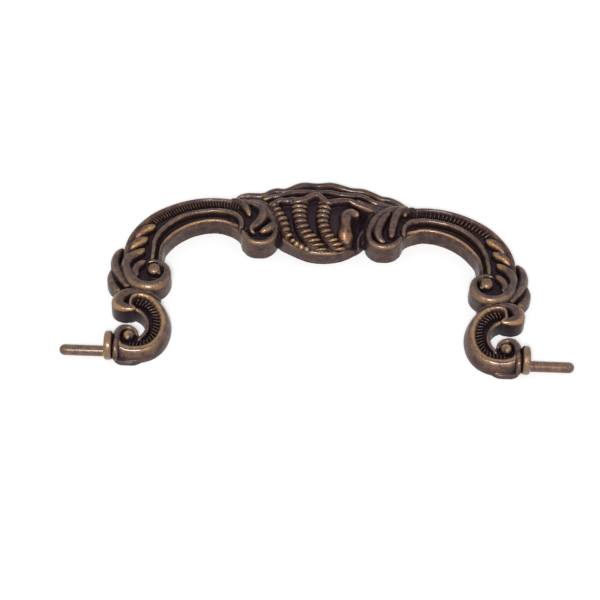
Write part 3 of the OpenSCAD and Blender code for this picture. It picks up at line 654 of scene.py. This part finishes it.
def row_of_beads(tree, path, finish, spacing, thickness, height, arch=0.0, unevenness=0.0, seed=1):
    """Points and faces of beads set along a path of [x, y, z, half width, lean]."""
    line = bpy.data.meshes.new("row")
    line.from_pydata([tuple(p[:3]) for p in path], [(i, i + 1) for i in range(len(path) - 1)], [])
    for column, name in ((3, "half"), (4, "lean")):
        layer = line.attributes.new(name, "FLOAT", "POINT")
        layer.data.foreach_set("value", np.ascontiguousarray(path[:, column]))
    row = bpy.data.objects.new("row", line)
    bpy.context.scene.collection.objects.link(row)
    step = row.modifiers.new("beads", "NODES")
    step.node_group = tree
    values = {"Spacing": spacing, "Thickness": thickness, "Height": height, "Arch": arch,
              "Unevenness": unevenness, "Seed": seed, "Finish": finish}
    for item in tree.interface.items_tree:
        if item.in_out == "INPUT" and item.name in values:
            step[item.identifier] = values[item.name]
    beads = plain_mesh(row)
    points, faces = arrays_of(beads)
    bpy.data.objects.remove(row)
    return points, faces


def plain_mesh(obj):
    """The evaluated mesh of an object, with its modifiers in it."""
    bpy.context.view_layer.update()
    graph = bpy.context.evaluated_depsgraph_get()
    return bpy.data.meshes.new_from_object(obj.evaluated_get(graph), depsgraph=graph)


def arrays_of(mesh):
    points = np.empty(len(mesh.vertices) * 3)
    mesh.vertices.foreach_get("co", points)
    return points.reshape(-1, 3), [tuple(p.vertices) for p in mesh.polygons]


# The right half against the mirrored left one: its arm and scroll sag, its boss leans outwards the more
# the higher it is, and its volute lies further out
SAG = 0.7
SAGGING = {"out": (15, 20), "y": (12, 17)}
BOSS_OUT, BOSS_LEAN, BOSS_LEAN_FROM = 0.4, 0.1, 27
NEAR_BOSS = {"out": (6, 9, 17, 22), "y": (22, 25)}
VOLUTE_OUT = 0.4
NEAR_VOLUTE = {"out": (28, 31, 38, 42), "y": (11, 14, 23, 27)}


def side_of(blank, right):
    """Function that adds a form drawn on the left to the blank, on either side."""

    def put(points, faces):
        points = np.array(points, float)
        if right:
            at = {"out": -points[:, 0], "y": points[:, 1]}
            lean = BOSS_OUT + BOSS_LEAN * np.clip(at["y"] - BOSS_LEAN_FROM, 0, 10)
            shift = patch(at, NEAR_BOSS, ramp) * lean + VOLUTE_OUT * patch(at, NEAR_VOLUTE, ramp)
            lower = SAG * patch(at, SAGGING, ramp)
            points = np.column_stack([at["out"] + shift, at["y"] - lower, points[:, 2]])
            faces = [f[::-1] for f in faces]
        blank.add(points, faces)
    return put


# Notches, flutes and bars: thickness along their row, height, and how far they differ from one another
NOTCH_T_SHARE, NOTCH_HIGH = 0.31, 0.9
FLUTE_T, FLUTE_HIGH = 0.2, 0.75
BAR_PITCH, BAR_T, BAR_HIGH, BAR_ARCH = 1.2, 0.5, 0.6, 1.2
BAR_UNDER = 0.45
ROW_UNEVEN, BAR_UNEVEN = 0.06, 0.07
NOTCH_SEED, FLUTE_SEED, BAR_SEED = 3, 5, 11


def sculpt(finish):
    """All forms of the casting but its pins, as one blank."""
    blank, tree = Blank(), row_tree()
    for right in (False, True):
        put = side_of(blank, right)
        for form in (arm, volute, c_scroll):
            form(put)
        boss(put, RIGHT_STRANDS if right else STRANDS)
        pitch = RIGHT_PITCH if right else LEFT_PITCH
        put(*row_of_beads(tree, notch_path(), finish, pitch, NOTCH_T_SHARE * pitch, NOTCH_HIGH,
                          unevenness=ROW_UNEVEN, seed=NOTCH_SEED))
        put(*row_of_beads(tree, flute_path(), finish, FLUTE_PITCH, FLUTE_T, FLUTE_HIGH,
                          unevenness=ROW_UNEVEN, seed=FLUTE_SEED))
    shell(blank.add)
    for number, rib in enumerate(RIBS):
        path, _ = smooth_path(rib)
        path[:, 2] -= BAR_UNDER
        blank.add(*row_of_beads(tree, path, finish, BAR_PITCH, BAR_T, BAR_HIGH,
                                arch=BAR_ARCH, unevenness=BAR_UNEVEN, seed=BAR_SEED + number))
    return blank


def new_object(name, points, faces):
    mesh = bpy.data.meshes.new(name)
    mesh.from_pydata(points.tolist(), [], faces)
    mesh.update()
    obj = bpy.data.objects.new(name, mesh)
    bpy.context.scene.collection.objects.link(obj)
    return obj


def fuse(blank, pins):
    """One closed skin over the blank, softened as a casting is, with crisp pins and flanges."""
    rough = new_object("rough", np.vstack(blank.points), blank.faces)
    merge = rough.modifiers.new("merge", "REMESH")
    merge.mode = "VOXEL"
    merge.voxel_size = VOXEL
    soften = rough.modifiers.new("soften", "SMOOTH")
    soften.factor = 0.5
    soften.iterations = SOFTEN_ROUNDS
    thin = rough.modifiers.new("thin", "DECIMATE")
    thin.ratio = 1
    counted = len(plain_mesh(rough).polygons)
    thin.ratio = min(1, MOST_TRIANGLES / (2 * counted))
    ends = new_object("ends", np.vstack(pins.points), pins.faces)
    join = rough.modifiers.new("join", "BOOLEAN")
    join.operation = "UNION"
    join.solver = "MANIFOLD"
    join.object = ends
    casting = bpy.data.objects.new("cast_bail", plain_mesh(rough))
    bpy.context.scene.collection.objects.link(casting)
    bpy.data.objects.remove(rough)
    bpy.data.objects.remove(ends)
    return casting


# Height map of the relief, from which the patina and the rubbed places are worked out
CELL = 0.12
MAP_MARGIN = 4


class HeightMap:
    """Highest point over each cell of the XY plane, with Z = 0 round the casting."""

    def __init__(self, points):
        self.low = points[:, :2].min(0) - MAP_MARGIN
        size = np.ceil((points[:, :2].max(0) + MAP_MARGIN - self.low) / CELL).astype(int) + 1
        self.high = np.zeros(size)
        at = ((points[:, :2] - self.low) / CELL).astype(int)
        np.maximum.at(self.high, (at[:, 0], at[:, 1]), points[:, 2])

    def around(self, field, radius, pick):
        """Highest or lowest value of a field within a radius."""
        cells = int(round(radius / CELL))
        out = field.copy()
        for i in range(-cells, cells + 1):
            for j in range(-cells, cells + 1):
                if 0 < i * i + j * j <= cells * cells + 1:
                    out = pick(out, np.roll(field, (i, j), (0, 1)))
        return out

    def filled(self, radius):
        """The relief with every groove narrower than two radii filled."""
        return self.around(self.around(self.high, radius, np.maximum), radius, np.minimum)

    def shaved(self, radius):
        """The relief with every ridge narrower than two radii taken off."""
        return self.around(self.around(self.high, radius, np.minimum), radius, np.maximum)

    def blurred(self, field, radius):
        cells = max(1, int(round(radius / CELL)))
        for axis in (0, 1):
            for _ in range(3):
                total = np.cumsum(field, axis)
                field = (np.roll(total, -cells, axis) - np.roll(total, cells + 1, axis)) / (2 * cells + 1)
        return field

    def read(self, field, x, y):
        """Values of a field at points, between its cells."""
        u, v = (x - self.low[0]) / CELL - 0.5, (y - self.low[1]) / CELL - 0.5
        i = np.clip(u.astype(int), 0, field.shape[0] - 2)
        j = np.clip(v.astype(int), 0, field.shape[1] - 2)
        f, g = u - i, v - j
        return ((field[i, j] * (1 - f) + field[i + 1, j] * f) * (1 - g)
                + (field[i, j + 1] * (1 - f) + field[i + 1, j + 1] * f) * g)


# Share of the way that each round takes a point towards its neighbours
EASE = 0.6


def roundness(points, edges, normals, rounds):
    """How far each point stands out of its smoothed surroundings, along its normal."""
    a, b = edges[:, 0], edges[:, 1]
    count = len(points)
    near = np.bincount(a, minlength=count) + np.bincount(b, minlength=count)
    calm = points.copy()
    for _ in range(rounds):
        total = np.empty_like(calm)
        for k in range(3):
            total[:, k] = (np.bincount(a, calm[b, k], count) + np.bincount(b, calm[a, k], count)) / near
        calm = (1 - EASE) * calm + EASE * total
    return np.einsum("ij,ij->i", points - calm, normals)


# Directions and distances in which a point looks for higher relief, from a little over the skin
SKY_TURNS = 12
SKY_DISTANCES = (0.25, 0.45, 0.7, 1, 1.4, 1.9, 2.6, 3.5)
SKY_LIFT = 0.12


def openness(relief, points, normals):
    """Share of the sky that each point sees over the relief round it."""
    seen = np.zeros(len(points))
    start = points + normals * SKY_LIFT
    for turn in np.linspace(0, 2 * math.pi, SKY_TURNS, endpoint=False):
        rise = np.zeros(len(points))
        for far in SKY_DISTANCES:
            x, y = start[:, 0] + far * math.cos(turn), start[:, 1] + far * math.sin(turn)
            rise = np.maximum(rise, (relief.read(relief.high, x, y) - start[:, 2]) / far)
        seen += 1 - rise / np.sqrt(1 + rise * rise)
    return seen / SKY_TURNS


def places_on(path, right, points, margin=2):
    """Where points lie by a path drawn on the left, on either side of the bail: the distance along
    the path, the offset from it, and the path's length. Points further off than margin lie nowhere."""
    if right:
        blank = Blank()
        side_of(blank, True)(path[:, :3], [])
        path = np.column_stack([blank.points[0][:, :2], path[:, 2:]])
    steps = np.linalg.norm(np.diff(path[:, :2], axis=0), axis=1)
    along = np.concatenate([[0], np.cumsum(steps)])
    normal = left_of(path)
    low, high = path[:, :2].min(0) - margin, path[:, :2].max(0) + margin
    near = np.flatnonzero(np.all((points[:, :2] > low) & (points[:, :2] < high), axis=1))
    place, offset = np.full(len(points), -99.0), np.full(len(points), 99.0)
    for part in np.array_split(near, max(1, len(near) // 2000)):
        apart = points[part, None, :2] - path[None, :, :2]
        closest = np.argmin(np.einsum("ijk,ijk->ij", apart, apart), axis=1)
        gap = apart[np.arange(len(part)), closest]
        forward = np.column_stack([normal[closest, 1], -normal[closest, 0]])
        offset[part] = np.einsum("ij,ij->i", gap, normal[closest])
        place[part] = along[closest] + np.einsum("ij,ij->i", gap, forward)
    return place, -offset if right else offset, along[-1]


# A cut ends at this share of the beads' half length, and fades in from a bead's side to its middle
CUT_ENDS = (0.75, 1.05)
CUT_SIDES = (0.3, 0.8)


def cuts_between(path, right, pitch, points, lean=0.0, low=2.5):
    """1 midway between the beads of a row and 0 on them and away from the row."""
    place, offset, length = places_on(path, right, points)
    even = length / int(length / pitch)
    inside = (place > -pitch / 2) & (place < length + pitch / 2) & (points[:, 2] > low)
    across = 1 - step_up(np.abs(offset) / path[:, 3].max(), *CUT_ENDS)
    between = 0.5 - 0.5 * np.cos(2 * math.pi * (place - offset * math.tan(lean)) / even)
    return inside * across * step_up(between, *CUT_SIDES)


# Wear. A place is given by its reach along x, y, z and out (the distance from the middle), and along
# tilt, the upward part of the normal
OPEN = (None, None)
# What makes a place rubbed or sunk: its share, and the measure in millimetres from which it starts to
# count and at which it counts in full
RUBBED_BY = {"ridge": (0.25, 0.3, 1.4), "lift": (0.2, 0.3, 1.6), "stand": (0.8, 0.02, 0.15)}
SUNK_BY = {"groove": (0.85, 0.12, 1.3), "fine groove": (0.8, 0.1, 0.55), "hollow": (0.9, 0.005, 0.06)}
WEAR_CONTRAST = 1.3
# Radii within which grooves and ridges are looked for, from a little over the skin, and the rounds of
# smoothing after which a point stands out or not
GROOVE_R, FINE_R, RIDGE_R = 1.5, 0.6, 0.9
OVER_SKIN = 0.3
STAND_ROUNDS = 12
# Places that are rubbed less than their form alone would be, with the share that is taken off. On the
# terraces and on the upper parts of the ribs, which face up and back, away from the lamp, this is painted
# shade
LESS_RUBBED_AND_SHADED = {
    # painted shade: the terraces face up and back, away from the lamp
    "terraces": (0.7, {"y": (37.6, 38.6), "out": (*OPEN, 14, 17)}),
    "front rim": (0.3, {"y": (34.6, 35.2), "out": (*OPEN, 11, 14)}),
    # painted shade: the upper bars of the ribs face up, away from the lamp
    "upper side rib": (0.5, {"y": (27.5, 29.5), "x": (-10, -9.5, -6.5, -6)}),
    "upper ribs": (0.5, {"y": (26.5, 29.5), "out": (*OPEN, 6, 6.5)}),
    "hollow beside the smooth lobe": (0.8, {"x": (7.2, 7.6, 10, 10.5), "y": (*OPEN, 32.7, 33)}),
    "bands behind the smooth lobe": (0.25, {"x": (6.5, 8, 17, 18), "y": (33, 34)}),
    "boss": (0.34, {"out": (8.8, 9.2, 17, 17.6), "y": (*OPEN, 36, 37)}),
    "strands of the right boss": (0.35, {"x": (10.4, 10.8, 16.2, 16.6), "y": (28, 28.6, 35.9, 36.5)}),
    "volute": (0.28, {"out": (31, 31.5, 41.5, 42), "y": (13.2, 13.8, 21.5, 23)}),
    "leaves": (0.3, {"out": (40.3, 40.8), "y": (13.2, 13.8)}),
    "channel": (0.6, {"out": (32.9, 33.2, 38.2, 38.6), "y": (0.8, 1.1, 11.4, 11.8), "z": (*OPEN, 3.4, 3.9)}),
    "channel rim": (0.5, {"out": (34.7, 35, 37.6, 38), "y": (1.6, 2, 8, 8.4)}),
    "collar ring": (0.5, {"out": (41, 41.1, 42.3, 42.4), "y": (*OPEN, 3.5, 4)})}
LUG_FOOT = {"y": (*OPEN, 0.7, 0.9), "z": (*OPEN, 1.5, 1.7), "out": (*OPEN, 42.8, 43)}
# Floors and flutes below this height keep most of their dark coat
LOW_SHARE, LOW_FORMS = 0.35, (2.4, 3.8)
# Walls inside the C and under its hook stay black: dark patina in the recess, with painted shadow under the
# hook
INSIDE_C = {"out": (35.6, 36, 42.3, 42.6), "y": (0.5, 1, 8.8, 9.1), "tilt": (*OPEN, 0.15, 0.45)}
# The foot of the smooth lobe is satin
LOBE_FOOT = {"x": (3.4, 3.8, 6.9, 7.4), "y": (*OPEN, 30, 31)}
PIN_END = {"out": (FACE_X - FLANGE_T + 0.1, FACE_X - FLANGE_T + 0.3), "y": (*OPEN, 4.5, 5)}
# On the arm a place also has a reach along it, before its end, and outwards or inwards as a share of
# its half width
INNER_RIM = {"inwards": (0.68, 0.76, 0.97, 1.03), "z": (4, 4.4), "along": (8, 13, 31, 32), "tilt": (0.3, 0.7)}
OUTER_SLOPE = {"outwards": (0.15, 0.3, 1.2, 1.3), "before end": (3, 4)}
PAST_THE_LOBES = (12, 15)
PAST_THE_VOLUTE = (4, 6)
NOTCHED = (*OPEN, 0.66, 0.78)
# On the roll of the scroll a place reaches outwards from the crest, in millimetres
CREST = (-1.25, -0.85, -0.3, 0.35)
FLANK = (-0.2, 0.5, 1.3, 1.6)
ROLL_FROM_Z = 2.8
FLUTE_FEET = (*OPEN, -0.2, 0.9)
FLUTE_FROM_Z, FLUTE_TO_Z, FLUTE_ASIDE, FLUTE_PAST = 1.9, 4.6, 1.6, 0.5


class PatinaAndPaintedLight:
    """Shares of the finish at each point of the casting: rubbed bright, sunk in a recess, and dull. The
    rubbed share also holds painted highlight where places face the lamp, and the sunk share holds painted
    shade on flat tops and under the hook.
    """

    def __init__(self, mesh):
        self.points, _ = arrays_of(mesh)
        normals = np.empty(len(self.points) * 3)
        mesh.vertex_normals.foreach_get("vector", normals)
        self.normals = normals.reshape(-1, 3)
        edges = np.empty(len(mesh.edges) * 2, dtype=np.int32)
        mesh.edges.foreach_get("vertices", edges)
        self.edges = edges.reshape(-1, 2)
        x, y, z = self.points.T
        self.at = {"x": x, "y": y, "z": z, "out": np.abs(x), "tilt": self.normals[:, 2]}
        self.front = np.clip(-self.normals[:, 1], 0, 1)
        self.up = step_up(self.at["tilt"], 0.1, 0.75)
        self.on_pin = patch(self.at, PIN_END)

    def by_form(self):
        """Rubbed where the relief stands out, and sunk where it lies between higher forms."""
        relief = HeightMap(self.points)
        x, y, z = (self.points + self.normals * OVER_SKIN).T
        stand = roundness(self.points, self.edges, self.normals, STAND_ROUNDS)
        sky = openness(relief, self.points, self.normals)
        found = {
            "ridge": z - relief.read(relief.shaved(RIDGE_R), x, y),
            "lift": z - relief.read(relief.blurred(relief.high, RIDGE_R), x, y),
            "stand": stand,
            "hollow": -stand,
            "groove": relief.read(relief.filled(GROOVE_R), x, y) - z,
            "fine groove": relief.read(relief.filled(FINE_R), x, y) - z}

        def total(causes):
            return sum(share * step_up(found[name], low, high) for name, (share, low, high) in causes.items())

        # Fingers rub what faces up. Slopes that face the front, towards the lamp beside the camera, are
        # brightened more: partly finger wear and partly a painted highlight
        bare_and_lamp_facing = np.maximum(self.up, 0.9 * self.front * step_up(self.at["tilt"], 0.05, 0.35))
        rubbed_and_highlit = total(RUBBED_BY) * (0.25 + 0.75 * bare_and_lamp_facing) * (1 - step_up(found["groove"], 0.2, 1))
        rubbed_and_highlit = step_up(rubbed_and_highlit * (0.75 + 0.6 * self.front), 0.15, 1.1)
        # Up-facing places that see little sky over the relief round them keep up to half less of their bright
        # share
        self.rubbed_and_highlit = rubbed_and_highlit * (1 - 0.5 * self.up * (1 - step_up(sky, 0.5, 0.92)))
        shaded = 0.7 * reach(sky, *OPEN, 0.22, 0.62) * self.up
        # Painted shade: flat places that face up are darkened, standing in for the dark surroundings that
        # they reflect
        flat = 0.25 * self.up * reach(stand, *OPEN, -0.02, 0.06)
        self.sunk = np.clip(total(SUNK_BY) + shaded + flat, 0, 1)

    def by_place(self):
        for share, spans in LESS_RUBBED_AND_SHADED.values():
            self.rubbed_and_highlit *= 1 - share * patch(self.at, spans)
        self.rubbed_and_highlit *= LOW_SHARE + (1 - LOW_SHARE) * reach(self.at["z"], *LOW_FORMS)
        self.rubbed_and_highlit = self.rubbed_and_highlit ** WEAR_CONTRAST
        rims = [patch(self.at, LESS_RUBBED_AND_SHADED[name][1]) for name in ("terraces", "front rim")]
        self.dull = np.maximum(0.6 * patch(self.at, LOBE_FOOT), 0.35 * np.maximum(*rims))

    def on_pins(self):
        """The pins are bright along their upper front side, which faces the camera and the lamp beside it, as
        a painted highlight over their wear, and darker where they leave the flange.
        """
        out = self.at["out"]
        # Painted highlight: brighter where the normal faces the camera and the lamp beside it
        camera_facing_highlight = step_up(0.83 * self.at["tilt"] + 0.55 * self.front, 0.25, 0.95)
        shank = (0.3 + 0.5 * camera_facing_highlight) * (0.45 + 0.55 * step_up(out, FACE_X + 0.4, FACE_X + 1.6))
        flange = 0.55 + 0.35 * camera_facing_highlight
        on_flange = self.on_pin * reach(out, *OPEN, FACE_X + 0.1, FACE_X + 0.3)
        wear = self.on_pin * np.where(on_flange > 0, flange, shank)
        self.rubbed_and_highlit = np.where(self.on_pin > 0, wear, self.rubbed_and_highlit)

    def blacken(self, cut, share=1.0):
        self.rubbed_and_highlit *= 1 - 0.9 * cut
        self.sunk = np.maximum(self.sunk, share * cut)

    def on_arm(self, right):
        """The inner rim is rubbed bright, and the outer rim less. The slope between its notches is dim."""
        place, offset, length = places_on(smooth_path(ARM_CENTRE)[0], right, self.points, 5)
        share = offset / ARM_HALF
        at = dict(self.at, along=place, outwards=share, inwards=-share)
        at["before end"] = length - place
        inner = patch(at, INNER_RIM)
        self.rubbed_and_highlit = np.maximum(self.rubbed_and_highlit, 0.85 * inner)
        self.sunk *= 1 - 0.7 * inner
        slope = patch(at, OUTER_SLOPE)
        outer = slope * reach(place, *PAST_THE_LOBES)
        self.rubbed_and_highlit *= (1 - 0.5 * outer) * (1 - 0.45 * outer * reach(share, *NOTCHED))
        self.dull = np.maximum(self.dull, 0.7 * slope * reach(place, *PAST_THE_VOLUTE))
        pitch = RIGHT_PITCH if right else LEFT_PITCH
        self.blacken(cuts_between(notch_path(), right, pitch, self.points))

    def on_roll(self, right):
        """The roll of the scroll is bright along its crest and dark down its outer flank: patina, with
        painted shade where the flank turns away from the lamp beside the camera.
        """
        place, offset, length = places_on(smooth_path(ROLL)[0], right, self.points)
        on_roll = (place > 0) & (place < length) & (self.at["z"] > ROLL_FROM_Z)
        crest = on_roll * reach(offset, *CREST)
        # Painted shade down the outer flank, left off where the flank faces the front and the lamp
        flank = on_roll * reach(offset, *FLANK) * (1 - 0.8 * self.front)
        bright = 0.9 * crest * step_up(self.at["tilt"], 0.3, 0.8)
        self.rubbed_and_highlit = np.maximum(self.rubbed_and_highlit * (1 - 0.65 * flank), bright)
        self.sunk *= 1 - 0.8 * crest

    def on_flutes(self, right):
        """The flutes are bright at their tips, and fade into the black channel between black cuts."""
        place, offset, length = places_on(flute_path(), right, self.points)
        near = (place > -FLUTE_PAST) & (place < length + FLUTE_PAST)
        near = near & (np.abs(offset) < FLUTE_ASIDE) & (self.at["z"] < FLUTE_TO_Z)
        self.rubbed_and_highlit *= 1 - 0.85 * near * reach(offset, *FLUTE_FEET)
        cuts = cuts_between(flute_path(), right, FLUTE_PITCH, self.points, lean=-FLUTE_LEAN, low=FLUTE_FROM_Z)
        self.blacken(cuts, 0.95)

    def under_the_scroll(self):
        self.rubbed_and_highlit *= 1 - 0.6 * patch(self.at, LUG_FOOT) * (1 - self.on_pin)
        # Painted shadow and patina on the walls inside the C
        self.blacken(patch(self.at, INSIDE_C), 0.9)
        self.sunk *= 1 - self.on_pin

    def save(self, mesh):
        gloss = (1 - self.sunk) * (1 - self.dull) * (0.22 + 0.64 * np.maximum(self.up, self.on_pin))
        for name, values in (("rubbed_and_highlit", np.clip(self.rubbed_and_highlit, 0, 1)), ("sunk", self.sunk), ("gloss", gloss)):
            layer = mesh.attributes.new(name, "FLOAT", "POINT")
            layer.data.foreach_set("value", np.ascontiguousarray(values, dtype=np.float32))


def note_wear_and_painted_light(casting):
    """Attributes of the finish, worked out from the form and from where fingers reach, with painted highlight
    and painted shade worked out from how each place faces the lamp.
    """
    patina = PatinaAndPaintedLight(casting.data)
    patina.by_form()
    patina.by_place()
    patina.on_pins()
    for right in (False, True):
        patina.on_arm(right)
        patina.on_roll(right)
        patina.on_flutes(right)
    patina.under_the_scroll()
    patina.save(casting.data)


# Finish
COAT_PLUM, COAT_BROWN = (0.042, 0.021, 0.026, 1), (0.098, 0.049, 0.032, 1)
# Black of the patina in recesses, which also serves as painted shade
RECESS_AND_SHADE_BLACK = (0.031, 0.0195, 0.026, 1)
BRONZE_RED, BRONZE_GOLD = (0.325, 0.168, 0.08, 1), (0.375, 0.222, 0.088, 1)
# Scales of the patterns, in cells per metre
CAST_CELLS, BLOTCH_CELLS, BUMP_CELLS, SPECK_CELLS = 240, 650, 1800, 2600
# Blotches and specks that break up the wear, and the pattern's level at which they change nothing
BLOTCH_SHARE, SPECK_SHARE, PATTERN_REST = 0.17, 0.24, 0.62
BUMP_DEPTH = 0.1 * MM
BUMP_STRENGTH = 0.5
# Roughness and metal of the coat, and how much the wear changes them
COAT_ROUGH, WORN_SMOOTHER, SPECK_ROUGHER = 0.38, 0.12, 0.08
COAT_METAL, WORN_METAL = 0.5, 0.2
WAX_ROUGH, GLARE = 0.15, 0.1


def attribute_share(tree, name):
    return add(tree, "ShaderNodeAttribute", attribute_name=name)["Fac"]


def blend(tree, share, a, b):
    return add(tree, "ShaderNodeMix", {"Factor": share, 6: a, 7: b}, data_type="RGBA")[2]


def grain(tree, place, cells, detail=3.0):
    """Noise with a given number of cells per metre, stretched to run from 0 to 1."""
    noise = add(tree, "ShaderNodeTexNoise", {"Scale": cells, "Detail": detail, "Vector": place})[0]
    return add(tree, "ShaderNodeMapRange", {"From Min": 0.35, "From Max": 0.65, "Value": noise})[0]


def antique_bronze():
    """Black brown patina, worn through to warm bronze where the casting stands out, with the painted
    highlight and painted shade that the rubbed and sunk attributes hold.
    """
    finish = bpy.data.materials.new("antique_bronze")
    finish.use_nodes = True
    tree = finish.node_tree
    place = add(tree, "ShaderNodeTexCoord")["Object"]
    blotch, speck = grain(tree, place, BLOTCH_CELLS, 4), grain(tree, place, SPECK_CELLS)
    sunk = attribute_share(tree, "sunk")
    # Wear breaks up into blotches and specks where it isn't sunk
    uneven = [maths(tree, "MULTIPLY", maths(tree, "SUBTRACT", pattern, PATTERN_REST), share)
              for pattern, share in ((blotch, BLOTCH_SHARE), (speck, SPECK_SHARE))]
    patches = maths(tree, "MULTIPLY", maths(tree, "ADD", *uneven), maths(tree, "SUBTRACT", 1, sunk))
    # The rubbed share also holds painted highlight on places that face the lamp
    worn_and_highlit = maths(tree, "ADD", attribute_share(tree, "rubbed_and_highlit"), patches, clamp=True)
    stained = maths(tree, "MULTIPLY", maths(tree, "SUBTRACT", blotch, 0.5), 0.2)
    # The sunk share brings painted shade together with the recess patina into this dark share
    patina_and_shade = maths(tree, "ADD", sunk, stained, clamp=True)
    dark = blend(tree, patina_and_shade, blend(tree, blotch, COAT_PLUM, COAT_BROWN), RECESS_AND_SHADE_BLACK)
    bright = blend(tree, grain(tree, place, CAST_CELLS), BRONZE_RED, BRONZE_GOLD)
    rough = maths(tree, "SUBTRACT", COAT_ROUGH, maths(tree, "MULTIPLY", worn_and_highlit, WORN_SMOOTHER))
    metal = maths(tree, "MULTIPLY", worn_and_highlit, WORN_METAL)
    bump = add(tree, "ShaderNodeBump", {
        "Strength": BUMP_STRENGTH, "Distance": BUMP_DEPTH, "Height": grain(tree, place, BUMP_CELLS, 4)})
    feed(tree, tree.nodes["Principled BSDF"], {
        "Base Color": blend(tree, worn_and_highlit, dark, bright),
        "Metallic": maths(tree, "ADD", COAT_METAL, metal, clamp=True),
        "Roughness": maths(tree, "ADD", rough, maths(tree, "MULTIPLY", speck, SPECK_ROUGHER), clamp=True),
        "Specular IOR Level": GLARE,
        "Coat Weight": attribute_share(tree, "gloss"),
        "Coat Roughness": WAX_ROUGH,
        "Normal": bump[0]})
    return finish


# Studio
FLOOR_REACH = 1.5
PAPER = (0.8, 0.8, 0.8, 1)
WHITE = (1, 1, 1, 1)
# Light that the floor gives off and that the world gives: on the bail, and more where it is seen
FLOOR_GLOW = 0.35
WORLD_LIGHT, WORLD_SEEN = 0.42, 0.58
LAMP_PLACE, LAMP_SIZE, LAMP_POWER = Vector((-0.03, -0.42, 0.6)), 0.16, 3.3


def seen_or_reflected(tree):
    """1 for rays from the camera and for reflected and refracted ones."""
    ray = add(tree, "ShaderNodeLightPath")
    either = maths(tree, "MAXIMUM", ray["Is Camera Ray"], ray["Is Glossy Ray"])
    return maths(tree, "MAXIMUM", either, ray["Is Transmission Ray"])


def white_floor():
    corners = [(-1, -1, 0), (1, -1, 0), (1, 1, 0), (-1, 1, 0)]
    floor = new_object("floor", FLOOR_REACH * np.array(corners), [(0, 1, 2, 3)])
    paper = bpy.data.materials.new("white_paper")
    paper.use_nodes = True
    tree = paper.node_tree
    feed(tree, tree.nodes["Principled BSDF"], {
        "Base Color": PAPER, "Roughness": 0.9, "Specular IOR Level": 0, "Emission Color": WHITE,
        "Emission Strength": maths(tree, "MULTIPLY", seen_or_reflected(tree), FLOOR_GLOW)})
    floor.data.materials.append(paper)
    return floor


def studio_light():
    """White surroundings, with a wide soft light over the camera."""
    world = bpy.data.worlds.new("studio")
    world.use_nodes = True
    tree = world.node_tree
    level = maths(tree, "ADD", WORLD_LIGHT, maths(tree, "MULTIPLY", seen_or_reflected(tree), WORLD_SEEN))
    feed(tree, tree.nodes["Background"], {"Color": WHITE, "Strength": level})
    bpy.context.scene.world = world
    lamp = bpy.data.lights.new("softbox", "AREA")
    lamp.size = LAMP_SIZE
    lamp.energy = LAMP_POWER
    box = bpy.data.objects.new("softbox", lamp)
    box.location = LAMP_PLACE
    box.rotation_euler = (-LAMP_PLACE).to_track_quat("-Z", "Y").to_euler()
    bpy.context.scene.collection.objects.link(box)
    bpy.context.scene.view_settings.view_transform = "Standard"


camera()
finish = antique_bronze()
blank, pins = sculpt(finish), Blank()
for right in (False, True):
    pin_end(side_of(pins, right))
bail = fuse(blank, pins)
note_wear_and_painted_light(bail)
bail.data.transform(Matrix.Translation((0, PIN_Y * MM, 0)) @ Matrix.Diagonal((MM, MM, MM, 1)))
bail.data.shade_smooth()
bail.data.materials.clear()
bail.data.materials.append(finish)
floor = white_floor()
studio_light()

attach(bail, "root")
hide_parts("bail")
